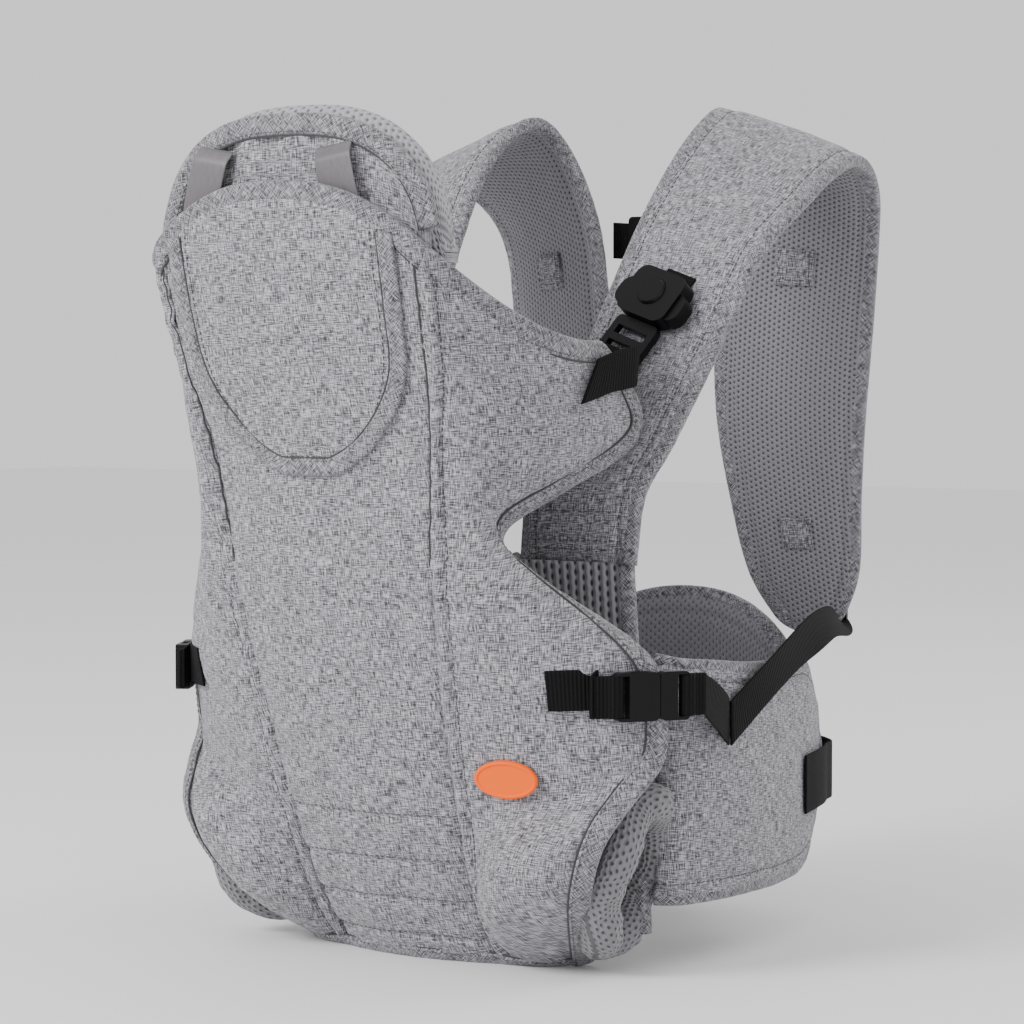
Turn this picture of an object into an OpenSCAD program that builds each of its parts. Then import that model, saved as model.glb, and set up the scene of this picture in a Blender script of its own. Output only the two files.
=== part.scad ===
// Soft baby carrier: a padded front pouch, a head support, two shoulder straps, a wrap-around waist belt
// with a lumbar pad, and the buckles that close them.
// Millimetres, +Z up. The pouch faces -Y, the wearer stands on the +Y side, +X is the wearer's left.

/* [Webbing] */
// Width of the side and shoulder webbing
web_w = 25; // [24:0.5:26]
// Width of the waist belt webbing
belt_web_w = 38; // [36:1:40]
// Thickness of all webbing
web_t = 1.6; // [1.4:0.1:1.8]

/* [Layers] */
// Thickness of the woven cover fabric
cover_t = 1.6; // [1.2:0.1:2]
// Thickness of the spacer mesh lining
mesh_t = 3; // [2:0.5:4]
// Thickness of the foam in the shoulder straps
strap_foam_t = 7; // [5:1:9]
// Thickness of the foam in the waist belt and lumbar pad
belt_foam_t = 8; // [6:1:10]
// Half width of the bias binding round every edge
bind_r = 3.4; // [3:0.1:4]

/* [Shoulder straps] */
// Width of a strap at its lower front end
strap_front_w = 78; // [74:1:82]
// Width of a strap over the shoulder
strap_top_w = 102; // [98:1:104]
// Width of a strap at its rear end
strap_end_w = 40; // [36:1:50]

/* [Waist belt] */
// Height of the belt wings
wing_h = 142; // [130:1:150]
// Half length of the lumbar pad, from its middle to its end
lumbar_half = 124; // [110:1:126]
// Height of the lumbar pad at its middle
lumbar_h = 158; // [140:1:164]

/* [Head support] */
// Half width of the head support
head_half = 107; // [102:1:109]
// Height of the head support above its fold line
head_h = 96; // [85:1:100]
// Thickness of the head support's padded rim
head_t = 30; // [24:1:34]

/* [Hardware] */
// Length of a side release buckle, closed
clip_l = 48; // [46:1:52]
// Width of a side release buckle
clip_w = 29; // [28:0.5:32]
// Radius of the shoulder buckle's push button
button_r = 9.5; // [8:0.5:10]

/* [Hidden] */
$fn = 48;

// Gap between two layers that lie on each other
gap = 0.4;
// How far a cover stops short of its edge, to leave room for the binding
inset = bind_r + 1;
// Colours
grey = "#a9a9b2";
mesh_grey = "#8b8b95";
black = "#161618";
taupe = "#8d878b";
foam_white = "#e8e6e0";
orange = "#ee7a1f";

// Princess seam of the front panel, bottom to top
seam_pts = [[59, -92, 8], [63, -120, 52], [67, -152, 130], [76, -180, 235], [84, -193, 320], [95, -212, 385], [99, -229, 446]];
// Outer edge of a side panel, bottom to top: leg opening, flank, armhole and wing
edge_pts = [
  [104, -62, 8], [128, -100, 34], [146, -126, 62], [160, -133, 92], [170, -118, 116], [178, -98, 138],
  [180, -96, 158], [180, -98, 178], [177, -101, 194], [166, -107, 208], [145, -122, 226], [120, -142, 246],
  [103, -152, 262], [102, -150, 280], [116, -112, 301], [128, -66, 322], [131, -50, 340], [130, -66, 366], [127, -88, 388]
];
// Centre line of a shoulder strap, from its lower front end over the shoulder to its rear end
strap_pts = [
  [95, -62, 252], [98, -58, 296], [105, -41, 330], [112, -2, 390], [120, 34, 450], [126, 70, 488], [127, 105, 513],
  [122, 142, 523], [112, 172, 503], [101, 188, 462], [95, 191, 400], [92, 193, 340], [93, 198, 285], [95, 206, 235],
  [96, 213, 203]
];
// Direction of a strap's width at each of those points
strap_dirs = [
  [1, 0, 0], [1, 0, 0], [0.985, -0.05, -0.1], [0.985, -0.09, -0.15], [0.985, -0.09, -0.15], [0.97, 0, -0.24],
  [0.95, 0.05, -0.3], [0.93, 0.15, -0.33], [0.92, 0.3, -0.28], [0.94, 0.33, -0.12], [0.95, 0.32, 0], [0.95, 0.31, 0],
  [0.95, 0.3, 0], [0.95, 0.3, 0], [0.95, 0.3, 0]
];
// Width at each of those points
strap_widths = [
  strap_front_w, strap_front_w + 2, strap_top_w - 16, strap_top_w - 10, strap_top_w - 6, strap_top_w - 2, strap_top_w,
  strap_top_w, strap_top_w, strap_top_w, strap_top_w, strap_top_w - 6, strap_top_w - 18, strap_top_w - 32, strap_end_w
];

function lerp(a, b, t) = a + (b - a) * t;
function unit(v) = v / norm(v);
function flip(p, side) = [side * p[0], p[1], p[2]];
// A smooth curve through a list of points or numbers, t from 0 to 1
function smooth(pts, t) =
  let(n = len(pts) - 1, s = min(floor(t * n), n - 1), f = t * n - s,
      b = pts[s], c = pts[s + 1], a = s > 0 ? pts[s - 1] : 2 * b - c, d = s + 2 <= n ? pts[s + 2] : 2 * c - b)
  0.5 * (2 * b + (c - a) * f + (2 * a - 5 * b + 4 * c - d) * f * f + (3 * b - a - 3 * c + d) * f * f * f);
// Normal of the grid P at row i and column j
function grid_normal(P, i, j) =
  let(n = len(P) - 1, m = len(P[0]) - 1)
  unit(cross(P[min(i + 1, n)][j] - P[max(i - 1, 0)][j], P[i][min(j + 1, m)] - P[i][max(j - 1, 0)]));
function reversed(P) = [for (i = [len(P) - 1:-1:0]) P[i]];

// A closed layer of cloth or foam: the surface grid P, from offset lo to offset hi along its normals
module layer(P, lo, hi) {
  n = len(P) - 1;
  m = len(P[0]) - 1;
  w = m + 1;
  all = (n + 1) * w;
  pts = [
    for (h = [lo, hi])
      for (i = [0:n])
        for (j = [0:m]) P[i][j] + h * grid_normal(P, i, j)
  ];
  function at(i, j, top) = top * all + i * w + j;
  faces = [
    for (i = [0:n - 1])
      for (j = [0:m - 1])
        each [
          [at(i, j, 1), at(i, j + 1, 1), at(i + 1, j + 1, 1)], [at(i, j, 1), at(i + 1, j + 1, 1), at(i + 1, j, 1)],
          [at(i, j, 0), at(i + 1, j + 1, 0), at(i, j + 1, 0)], [at(i, j, 0), at(i + 1, j, 0), at(i + 1, j + 1, 0)]
        ],
    for (i = [0:n - 1])
      each [
        [at(i, 0, 0), at(i, 0, 1), at(i + 1, 0, 1)], [at(i, 0, 0), at(i + 1, 0, 1), at(i + 1, 0, 0)],
        [at(i, m, 0), at(i + 1, m, 1), at(i, m, 1)], [at(i, m, 0), at(i + 1, m, 0), at(i + 1, m, 1)]
      ],
    for (j = [0:m - 1])
      each [
        [at(0, j, 0), at(0, j + 1, 1), at(0, j, 1)], [at(0, j, 0), at(0, j + 1, 0), at(0, j + 1, 1)],
        [at(n, j, 0), at(n, j, 1), at(n, j + 1, 1)], [at(n, j, 0), at(n, j + 1, 1), at(n, j + 1, 0)]
      ]
  ];
  polyhedron(pts, faces, convexity = 6);
}

// The binding along an edge: a tube of flat sides along pts, with ups the surface normals beside it
module binding(pts, ups, r, sides = 4) {
  n = len(pts) - 1;
  rings = [
    for (i = [0:n])
      let(t = unit(pts[min(i + 1, n)] - pts[max(i - 1, 0)]), b = unit(cross(t, ups[i])), a = cross(b, t))
      for (k = [0:sides - 1]) pts[i] + r * (cos(360 / sides * (k + 0.5)) * a + sin(360 / sides * (k + 0.5)) * b)
  ];
  faces = [
    for (i = [0:n - 1])
      for (k = [0:sides - 1])
        let(p = i * sides + k, q = i * sides + (k + 1) % sides)
        each [[p, q + sides, q], [p, p + sides, q + sides]],
    [for (k = [0:sides - 1]) k],
    [for (k = [sides - 1:-1:0]) n * sides + k]
  ];
  polyhedron(rings, faces, convexity = 6);
}

/* ---- Front panel ---- */
flap_rise = 36;  // how far the middle of the top edge stands above the seams
flap_bow = 11;  // how far the middle stands in front of the seams
flank_bulge = 15;  // how far a side panel bulges between seam and edge
belly = 10;  // how much further it bulges low down, in front of the leg
belly_top = 0.27;  // where that ends, as a share of the panel's height
wing_dip = 18;  // how far the wing's top edge hangs between the seam and its corner
function seam(t) = smooth(seam_pts, t);
// Across the middle, u from -1 to 1 between the seams and t from bottom to top
function center_at(u, t) =
  let(s = seam(t))
  [u * s[0], s[1] - flap_bow * (1 - u * u), s[2] + flap_rise * (1 - pow(abs(u), 2.4)) * pow(t, 5)];
// On the left side panel, q from 0 at the seam to 1 at the edge
function side_at(q, t) =
  let(s = seam(t), e = smooth(edge_pts, t), d = e - s, out = unit([-d[1], d[0], 0] * -1),
      low = t < belly_top ? belly * sin(180 * t / belly_top) : 0)
  s + q * d + (out * (flank_bulge * min(1, norm(d) / 110) + low) - [0, 0, wing_dip * pow(t, 8)]) * 4 * q * (1 - q);
rows = 26;
function center_grid(a, b, t0, t1, n, m) =
  [for (i = [0:n]) [for (j = [0:m]) center_at(lerp(a, b, j / m), lerp(t0, t1, i / n))]];
function side_grid(q0, q1, t0, t1, n, m) =
  [for (i = [0:n]) [for (j = [0:m]) side_at(lerp(q0, q1, j / m), lerp(t0, t1, i / n))]];
function flip_grid(P) = [for (r = P) [for (j = [len(r) - 1:-1:0]) flip(r[j], -1)]];
side_edge_q = 0.955;
module panel_center() {
  color(grey) layer(center_grid(-0.985, 0.985, 0.01, 0.985, rows, 8), -cover_t, 0);
}
module panel_side(side) {
  P = side_grid(0.02, side_edge_q, 0.01, 0.985, rows, 6);
  color(grey) layer(side > 0 ? P : flip_grid(P), -cover_t, 0);
}
module panel_lining() {
  S = side_grid(0.03, side_edge_q, 0.01, 0.985, rows, 6);
  C = center_grid(-0.985, 0.985, 0.01, 0.985, rows, 8);
  F = flip_grid(S);
  color(mesh_grey) layer([for (i = [0:rows]) concat(F[i], C[i], S[i])], 2 * gap, 2 * gap + mesh_t);
}

module panel_binding() {
  n = 52;
  top = [for (i = [1:12]) side_at(1 - i / 12, 1)];
  crown = [for (i = [1:9]) center_at(1 - i / 5, 1)];
  side = [for (i = [0:n]) smooth(edge_pts, i / n)];
  left = concat(side, top, [for (i = [0:4]) crown[i]]);
  half = concat(left, [for (i = [len(left) - 2:-1:0]) flip(left[i], -1)]);
  ups = [for (p = half) unit([p[0] / 180, -1, 0])];
  color(grey) binding(half, ups, bind_r);
}

/* ---- Patch on the front panel ---- */
patch_gap = 1.2;
patch_foot = 0.645;  // where its rounded foot starts, as a share of the panel's height
function patch_half(b) = 0.82 * sqrt(1 - 0.93 * pow(1 - min(1, b / 0.55), 2.2));
module head_patch() {
  P = [for (i = [0:14]) [for (j = [0:8])
    center_at((j / 4 - 1) * patch_half(i / 14), lerp(patch_foot, 0.972, i / 14))]];
  color(grey) layer(P, -2 * cover_t - patch_gap, -cover_t - patch_gap);
}

/* ---- Head support ---- */
head_fold = [0, -209, 428];  // middle of its fold line
head_lean = 12;  // how far its sides curve back
function head_at(a, b, half, rise) =
  let(top = (rise - 2) * pow(1 - pow(abs(a), 2.8), 0.45))
  [a * half, head_fold[1] - 16 + head_lean * a * a, head_fold[2] + 6 + b * top];
function head_grid(half, rise) =
  [for (i = [0:8]) [for (j = [0:14]) head_at((j / 7 - 1) * 0.985, i / 8, half, rise)]];
module head_cover() {
  color(grey) layer(head_grid(head_half - 10, head_h - 14), -cover_t, 0);
}
module head_mesh() {
  color(mesh_grey) layer(head_grid(head_half - 4, head_h - 2), 5 * gap, head_t);
}
module head_binding() {
  pts = [for (j = [0:24]) head_at((j / 12 - 1) * 0.985, 1, head_half - 10 + inset, head_h - 14 + inset)];
  ups = [for (p = pts) [0, -1, 0]];
  color(grey) binding([for (p = pts) p - [0, bind_r + 1, 0]], ups, bind_r);
}
band_w = 26;  // width of a stretch band
module head_bands() {
  for (side = [-1, 1])
    color(taupe)
      translate([side * 52 - band_w / 2, head_fold[1] - 16 - cover_t - 1.3, head_fold[2] + 30])
        cube([band_w, 1, 42]);
}

/* ---- Inner panel and seat ---- */
inner_half = 140;
inner_top = 244;
inner_dip = 26;  // how far its top edge dips between the straps
inner_foot = 26;
function inner_at(a, b) =
  let(dip = abs(a) < 0.4 ? inner_dip * (1 - pow(a / 0.4, 2)) : 0,
      half = lerp(inner_half + 6, inner_half - 8, b))
  [a * half, -70 + 12 * a * a, lerp(inner_foot, inner_top - dip, b)];
inner_grid = [for (i = [0:10]) [for (j = [0:14]) inner_at((j / 7 - 1) * 0.975, lerp(0.01, 0.985, i / 10))]];
module inner_panel_mesh() {
  color(mesh_grey) layer(inner_grid, -mesh_t, 0);
}
module inner_panel_cover() {
  color(grey) layer(inner_grid, gap, gap + cover_t);
}
// The seat closes the pouch below, from the panel's foot to the inner panel's foot
module seat_pad() {
  P = [for (i = [0:6]) [for (j = [0:8])
    let(a = j / 4 - 1, y = lerp(-90 + 12 * a * a, -62, i / 6)) [a * 92, y, 9 + 8 * pow(i / 6, 2)]]];
  color(mesh_grey) layer(P, -3, 3);
}
// A padded ring round a leg opening
cuff_mid = [144, -77, 66];
cuff_r = 13;
function cuff_at(s) =
  cuff_mid + [
    14 * sin(s) - 6 * cos(s),
    30 * cos(s) - 4,
    sin(s) > 0 ? 46 * sin(s) : 40 * sin(s)
  ];
module leg_cuff(side) {
  pts = [for (k = [0:24]) flip(cuff_at(k * 14.8), side)];
  ups = [for (k = [0:24]) [side, 0, 0.2]];
  color(mesh_grey) binding(pts, ups, cuff_r, 8);
}

/* ---- Waist belt ---- */
// Outer line of a wing in plan, from the pouch's flank to its rear end
wing_path = [[150, -60], [163, -52], [170, -20], [170, 20], [163, 70], [151, 118], [133, 162]];
wing_top = [54, 51, 48, 44, 42, 38, -8];  // how far the top edge stands above the belt's middle line, less the slant
wing_low = [1, 1, 1, 1, 1, 0.9, 0.3];  // share of the wing's depth below its middle line
belt_mid = 124;
function wing_at(s, v) =
  let(p = smooth(wing_path, s), hi = belt_mid + 20 + smooth(wing_top, s), lo = belt_mid - 14 - (wing_h - 80) * smooth(wing_low, s))
  [p[0], p[1], lerp(lo, hi, v)];
wing_grid = [for (i = [0:18]) [for (j = [0:6]) wing_at(lerp(0.01, 0.975, i / 18), lerp(0.03, 0.97, j / 6))]];
function side_copy(P, side) = side > 0 ? P : [for (r = reversed(P)) [for (p = r) flip(p, -1)]];
// The stretch of a wing's or a pad's outline from one end round to the other, as rows and columns of its grid
function outline(f, n, m) =
  concat([for (i = [0:n]) f(i / n, 0)], [for (j = [1:m - 1]) f(1, j / m)], [for (i = [n:-1:0]) f(i / n, 1)]);
module wing_cover(side) {
  color(grey) layer(side_copy(wing_grid, side), 0, cover_t);
}
module wing_foam() {
  for (side = [-1, 1]) color(foam_white) layer(side_copy(wing_grid, side), -gap - belt_foam_t, -gap);
}
module wing_mesh() {
  for (side = [-1, 1])
    color(mesh_grey)
      layer(side_copy(wing_grid, side), -2 * gap - belt_foam_t - mesh_t, -2 * gap - belt_foam_t);
}

// The lumbar pad across the wearer's back
lumbar_path_y = 214;
lumbar_curve = 34;
function lumbar_at(a, v) =
  let(top = belt_mid - 12 + (lumbar_h - 52) * pow(1 - pow(abs(a), 2.2), 0.6),
      low = belt_mid - 22 - (52) * pow(1 - pow(abs(a), 2.6), 0.6))
  [a * lumbar_half, lumbar_path_y - lumbar_curve * a * a, lerp(low, top, v)];
lumbar_grid = [for (i = [0:6]) [for (j = [0:22]) lumbar_at((j / 11 - 1) * 0.955, lerp(0.04, 0.96, i / 6))]];
module lumbar_cover() {
  color(grey) layer(lumbar_grid, gap, gap + cover_t);
}
module lumbar_foam() {
  color(foam_white) layer(lumbar_grid, -belt_foam_t, 0);
}
module lumbar_mesh() {
  color(mesh_grey) layer(lumbar_grid, -belt_foam_t - gap - mesh_t, -belt_foam_t - gap);
}
module belt_bindings() {
  for (side = [-1, 1]) {
    pts = [for (p = outline(function(s, v) wing_at(s, v), 22, 6)) flip(p, side) + [side * -4, 0, 0]];
    color(grey) binding(pts, [for (p = pts) unit([p[0], p[1] > 100 ? 60 : 0, 0])], bind_r);
  }
  pad = [for (p = outline(function(s, v) lumbar_at(lerp(-1, 1, s), v), 32, 2)) p - [0, 5, 0]];
  color(grey) binding(pad, [for (p = pad) [0, 1, 0]], bind_r);
}

/* ---- Shoulder straps ---- */
function strap_at(t, q) =
  smooth(strap_pts, t) + unit(smooth(strap_dirs, t)) * smooth(strap_widths, t) * q;
strap_rows = 36;
strap_grid = [for (i = [0:strap_rows]) [for (j = [0:4])
  let(t = i / strap_rows * 0.985 + 0.004, w = smooth(strap_widths, t)) strap_at(t, (j / 2 - 1) * (0.5 - inset / w))]];
strap_core_t = strap_foam_t + 2 * gap;
module strap_cover(side) {
  color(grey) layer(side_copy(strap_grid, side), -strap_core_t / 2 - cover_t, -strap_core_t / 2);
}
module strap_foam() {
  for (side = [-1, 1])
    color(foam_white) layer(side_copy(strap_grid, side), -strap_foam_t / 2, strap_foam_t / 2);
}
module strap_mesh() {
  for (side = [-1, 1])
    color(mesh_grey) layer(side_copy(strap_grid, side), strap_core_t / 2, strap_core_t / 2 + mesh_t);
}
module strap_bindings() {
  n = 44;
  edge = concat(
    [for (i = [0:n]) strap_at(i / n, -0.5)],
    [for (k = [1:3]) strap_at(1, -0.5 + k / 4) + [0, 0, -8 * sin(45 * k)]],
    [for (i = [n:-1:0]) strap_at(i / n, 0.5)]
  );
  ups = concat(
    [for (i = [0:n]) strap_up(i / n)], [for (k = [1:3]) strap_up(1)], [for (i = [n:-1:0]) strap_up(i / n)]
  );
  for (side = [-1, 1])
    color(grey) binding([for (p = edge) flip(p, side)], [for (u = ups) flip(u, side)], bind_r);
}
function strap_up(t) =
  let(e = 0.01) unit(cross(unit(smooth(strap_dirs, t)), smooth(strap_pts, min(1, t + e)) - smooth(strap_pts, max(0, t - e))));

/* ---- Where the hardware sits ---- */
// On the left shoulder strap: X across it, Y up along it, Z out of it
clasp_at = [113, 1.2, 413.1];
clasp_tilt = 57;
clasp_turn = -20;
module on_strap(side) {
  mirror([side > 0 ? 0 : 1, 0, 0]) translate(clasp_at) rotate([clasp_tilt, 0, 0]) rotate([0, 0, clasp_turn]) children();
}
// On the left flank: X towards the back, Y up, Z out of the pouch
clip_turn = 58;
clip_at = [181.4, -110, 180];
module on_flank(side) {
  mirror([side > 0 ? 0 : 1, 0, 0]) translate(clip_at) rotate([90, 0, clip_turn]) children();
}
// Behind the lumbar pad: X towards the wearer's right, Y up, Z out of the back
belt_clip_at = [0, 226.5, 108];
module on_back() {
  translate(belt_clip_at) rotate([90, 0, 180]) children();
}
// On the left strap's rear end: X across it, Y up along it, Z out of its cover
slider_at = [99.3, 224, 212];
slider_turn = 17;
module on_strap_end(side) {
  mirror([side > 0 ? 0 : 1, 0, 0]) translate(slider_at) rotate([0, 0, slider_turn]) rotate([90, 0, 180]) children();
}

/* ---- Buckle parts, X along the buckle and Z through its thickness ---- */
buckle_t = 8;  // thickness of a buckle
wall = 1.8;  // its walls
mouth = 4;  // from its middle to the socket's mouth
bar = 3.4;  // width of the bar the webbing loops round
bar_t = 3.8;  // thickness of that bar
slot = 5;  // length of the slot beside the bar
prong_reach = 20;  // length of a prong
prong_w = 3.2;
fit = 0.3;  // room left round a moving part
module rounded(l, w, r) {
  square([l - 2 * r, w], center = true);
  square([l, w - 2 * r], center = true);
  for (i = [-1, 1])
    for (j = [-1, 1]) translate([i * (l / 2 - r), j * (w / 2 - r)]) circle(r);
}
module slab(l, w, t, r) {
  translate([0, 0, -t / 2]) linear_extrude(t) rounded(l, w, r);
}
module block(l, w, t) {
  cube([l, w, t], center = true);
}
// Half the width of the channel inside a socket of width w
function channel(w) = w / 2 - wall - 1.2;
// The slot and thinned bar at the end of a buckle half; dir is -1 or 1 along X
module web_end(w, half, dir) {
  translate([dir * (half - bar - slot / 2), 0, 0]) block(slot, w - 4, 2 * buckle_t);
  for (k = [-1, 1])
    translate([dir * (half - bar / 2), 0, k * (bar_t / 2 + buckle_t / 2)]) block(bar + slot, w - 4, buckle_t);
}
module socket(w, l) {
  half = l / 2;
  inner = mouth - prong_reach + 2;
  color(black) difference() {
    translate([(mouth - half) / 2, 0, 0]) slab(mouth + half, w, buckle_t, 4);
    translate([(inner + mouth + 1) / 2, 0, 0]) block(mouth + 1 - inner, 2 * channel(w), buckle_t - 2 * wall);
    translate([mouth - 12, 0, 0]) block(11, w + 2, buckle_t - 2 * wall);
    web_end(w, half, -1);
  }
}
module plug(w, l) {
  half = l / 2;
  near = mouth + gap;
  color(black) difference() {
    union() {
      translate([(half + near) / 2, 0, 0]) slab(half - near, w, buckle_t, 4);
      translate([mouth - 5, 0, 0]) block(16, 5, 4);
    }
    for (k = [-1, 1])
      translate([near + 3.4, k * (channel(w) - prong_w / 2), 0]) block(8, prong_w + 2, buckle_t - 2 * wall);
    web_end(w, half, 1);
  }
}
// One springy prong of a plug; k is 1 for the upper and -1 for the lower
module prong(w, k) {
  outer = channel(w) - fit;
  t = buckle_t - 2 * wall - 2 * fit;
  color(black) {
    translate([mouth + 6 - prong_reach / 2, k * (outer - prong_w / 2), 0]) block(prong_reach, prong_w, t);
    translate([mouth + 11 - prong_reach, k * (outer - prong_w / 2 - 0.8), 0]) block(10, prong_w + 1.6, t);
  }
}
// Webbing of width w looped round the bar at a buckle's end, with a tail along the buckle's back
module web_loop(w, half, dir, tail) {
  low = buckle_t / 2 - 0.1;
  t = web_t;
  z1 = low - t;
  x1 = half - bar - 0.5;
  color(black) mirror([dir > 0 ? 0 : 1, 0, 0]) rotate([90, 0, 0]) translate([0, 0, -w / 2])
    linear_extrude(w) difference() {
      polygon([
        [half + tail, -low], [x1 - t + 0.8, -low], [x1 - t, 0.8 - low], [x1 - t, low - 0.8], [x1 - t + 0.8, low],
        [half + 2, low], [half + 8, 2 * t - low], [half + tail, 2 * t - low]
      ]);
      polygon([[half + 7, -z1], [x1, -z1], [x1, z1], [half + 1.2, z1]]);
    }
}
// A flat slider with two slots and a middle bar
module slider(l, w, t) {
  color(black) difference() {
    slab(l, w, t, 3);
    for (k = [-1, 1]) translate([0, k * (w / 4 - 0.4), 0]) block(l - 6, w / 2 - 5, 2 * t);
  }
}

/* ---- Side buckles and their webbing ---- */
// A stub of webbing sewn flat on each flank and looped round the socket's bar
stub_t = 0.415;  // its height on the side panel, as a share of the panel's height
stub_off = 2.4;  // how far its middle line stands off the panel
module side_stubs() {
  axis = [cos(clip_turn), sin(clip_turn), 0];
  out = [sin(clip_turn), -cos(clip_turn), 0];
  tail = clip_at - axis * (clip_l / 2 + 9) - out * (buckle_t / 2 - web_t);
  for (side = [-1, 1]) {
    strip([
      for (q = [0.5:0.07:0.71])
        [side_at(q, stub_t) + out * stub_off, unit(side_at(q, stub_t + 0.03) - side_at(q, stub_t - 0.03))],
      [tail, [0, 0, 1]]
    ], web_w, side);
    on_flank(side) web_loop(web_w - 0.5, clip_l / 2, -1, 10);
  }
}
module side_socket(side) {
  on_flank(side) socket(clip_w, clip_l);
}
module side_plug(side) {
  on_flank(side) plug(clip_w, clip_l);
}
module side_prong(side, k) {
  on_flank(side) prong(clip_w, k);
}
// A strip of webbing through legs, each a point and the direction of the width there
module strip(legs, w, side) {
  P = [for (l = legs) [for (q = [-0.5, 0.5]) flip(l[0] + w * q * l[1], side)]];
  color(black) layer(side > 0 ? P : [for (r = P) reversed(r)], 0, web_t);
}
// From the plug down to its mitred fold on the belt and up to the slider on the strap
fold_at = [178, -20, 156];
rise_pts = [fold_at, [177, 30, 182], [167, 90, 205], [150, 150, 208], [114, 226, 186], [101, 228, 198]];
module side_webbing(side) {
  tail = clip_at + [cos(clip_turn), sin(clip_turn), 0] * (clip_l / 2 + 9) - [sin(clip_turn), -cos(clip_turn), 0] * (buckle_t / 2 - web_t);
  down = unit(fold_at - tail);
  up = unit(rise_pts[1] - fold_at);
  across_down = unit(cross(down, [1, 0.1, 0]));
  across_up = unit(cross(up, [1, 0.1, 0]));
  miter = unit(across_down + across_up);
  legs = [
    [tail, [0, 0, -1]], [lerp(tail, fold_at, 0.4), across_down], [fold_at, miter / (miter * across_down)],
    for (k = [1:12])
      let(across = smooth([across_up, across_up, [0.55, -0.45, -0.7], [0.95, 0.1, -0.3]], k / 12))
      [smooth(rise_pts, k / 12), unit(across)]
  ];
  strip(legs, web_w, side);
  on_flank(side) web_loop(web_w - 0.5, clip_l / 2, 1, 10);
  slider_loop(side);
}
// The webbing's loop round the slider's middle bar
module slider_loop(side) {
  half = 4.1;
  on_strap_end(side) color(black) rotate([90, 0, 90]) translate([0, 0, -web_w / 2])
    linear_extrude(web_w) difference() {
      polygon([
        [-16, half - web_t], [-16, half], [half, half], [half, -half], [-half, -half], [-half, half - web_t]
      ]);
      square([5.2, 5], center = true);
    }
}
// A keeper of webbing sewn to each strap's rear end, round the slider's upper bar
module strap_keepers() {
  for (side = [-1, 1])
    on_strap_end(side) color(black) rotate([90, 0, 90]) translate([0, 0, -web_w / 2]) {
      linear_extrude(web_w) translate([11, 0]) difference() {
        square([9, 9], center = true);
        square([5.8, 5.8], center = true);
      }
      translate([13, -4.5, 0]) cube([16, web_t, web_w]);
    }
}
module strap_slider(side) {
  on_strap_end(side) slider(34, 26, 4);
}

/* ---- Shoulder buckles ---- */
housing_t = 12;
housing_w = 56;
housing_h = 34;
tongue_w = 26;
tongue_t = 2;
tongue_z = 1.4;  // from the housing's back to the tongue
button_lift = 1.6;  // how far the button stands out of the housing
button_travel = 2.4;
module shoulder_housing(side) {
  on_strap(side) color(black) difference() {
    union() {
      translate([0, 0, housing_t / 2]) slab(housing_w - 14, housing_h, housing_t, 8);
      translate([0, -3, housing_t / 2 - 1]) slab(housing_w, housing_h - 14, housing_t - 2, 8);
    }
    translate([0, -housing_h / 2 + 10, tongue_z + tongue_t / 2]) block(tongue_w + 2 * fit, 24, tongue_t + 2 * fit);
    translate([0, 1, tongue_z + tongue_t + 1]) cylinder(r = button_r + fit, h = housing_t);
  }
}
module shoulder_button(side) {
  bottom = tongue_z + tongue_t + 1 + fit + button_travel;
  top = housing_t + button_lift;
  edge = 1.2;  // width of its chamfer
  on_strap(side) color(black) {
    translate([0, 1, bottom]) cylinder(r = button_r, h = top - edge - bottom);
    translate([0, 1, top - edge]) cylinder(r1 = button_r, r2 = button_r - edge, h = edge);
  }
}
frame_l = 30;  // the part of the tongue outside the housing
module shoulder_tongue(side) {
  y0 = -housing_h / 2 - 0.6;
  on_strap(side) color(black) difference() {
    union() {
      translate([0, y0 + 8, tongue_z + tongue_t / 2]) block(tongue_w, 18, tongue_t);
      translate([0, y0 - frame_l / 2, 3]) slab(tongue_w + 10, frame_l, 5, 4);
    }
    for (k = [0, 1]) translate([0, y0 - 10 - k * 11, 3]) block(tongue_w, 6, 8);
    translate([0, y0 + 9, 0]) cylinder(r = 4, h = 8);
  }
}
// The webbing from the panel's upper corner, threaded through the tongue's lower slot
tab_legs = [
  [[93, -31, 368.5], [0.9, -0.28, 0.3]], [[106, -38, 372], [0.8, -0.3, 0.6]], [[129, -49, 374], [0.3, -0.1, 0.95]],
  [[141, -66, 374], [0, 0.1, 1]], [[141, -90, 371], [0, 0.15, 1]], [[140, -112, 365], [0.05, 0.6, 1.1]]
];
module shoulder_tab(side) {
  y1 = -housing_h / 2 - 0.6 - frame_l;
  w = web_w / 2;
  on_strap(side) color(black) {
    for (z = [5.9, -1.4]) translate([-w, y1 - 10, z]) cube([2 * w, 18.6, web_t]);
    translate([-w, y1 + 7, -1.4]) cube([2 * w, web_t, 8.9]);
    translate([-w, y1 - 13, -1.4]) cube([2 * w, 4, 8.9]);
  }
  strip(tab_legs, web_w, side);
}
// Webbing that holds each housing on its strap
module shoulder_anchors() {
  for (side = [-1, 1]) on_strap(side) color(black) translate([-web_w / 2, -20, -gap - web_t]) cube([web_w, 44, web_t]);
}

/* ---- Chest webbing between the straps ---- */
cross_z = 461;
cross_y = 196;
cross_half = 54;
module cross_webbing() {
  color(black) translate([-cross_half, cross_y - web_t, cross_z - web_w / 2]) cube([2 * cross_half, web_t, web_w]);
}
module cross_slider() {
  translate([-30, cross_y - web_t / 2, cross_z]) rotate([90, 0, 0]) color(black) difference() {
    slab(20, web_w + 7, 5, 3);
    block(30, web_w + 2 * gap, web_t + 2 * gap);
  }
}

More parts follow.
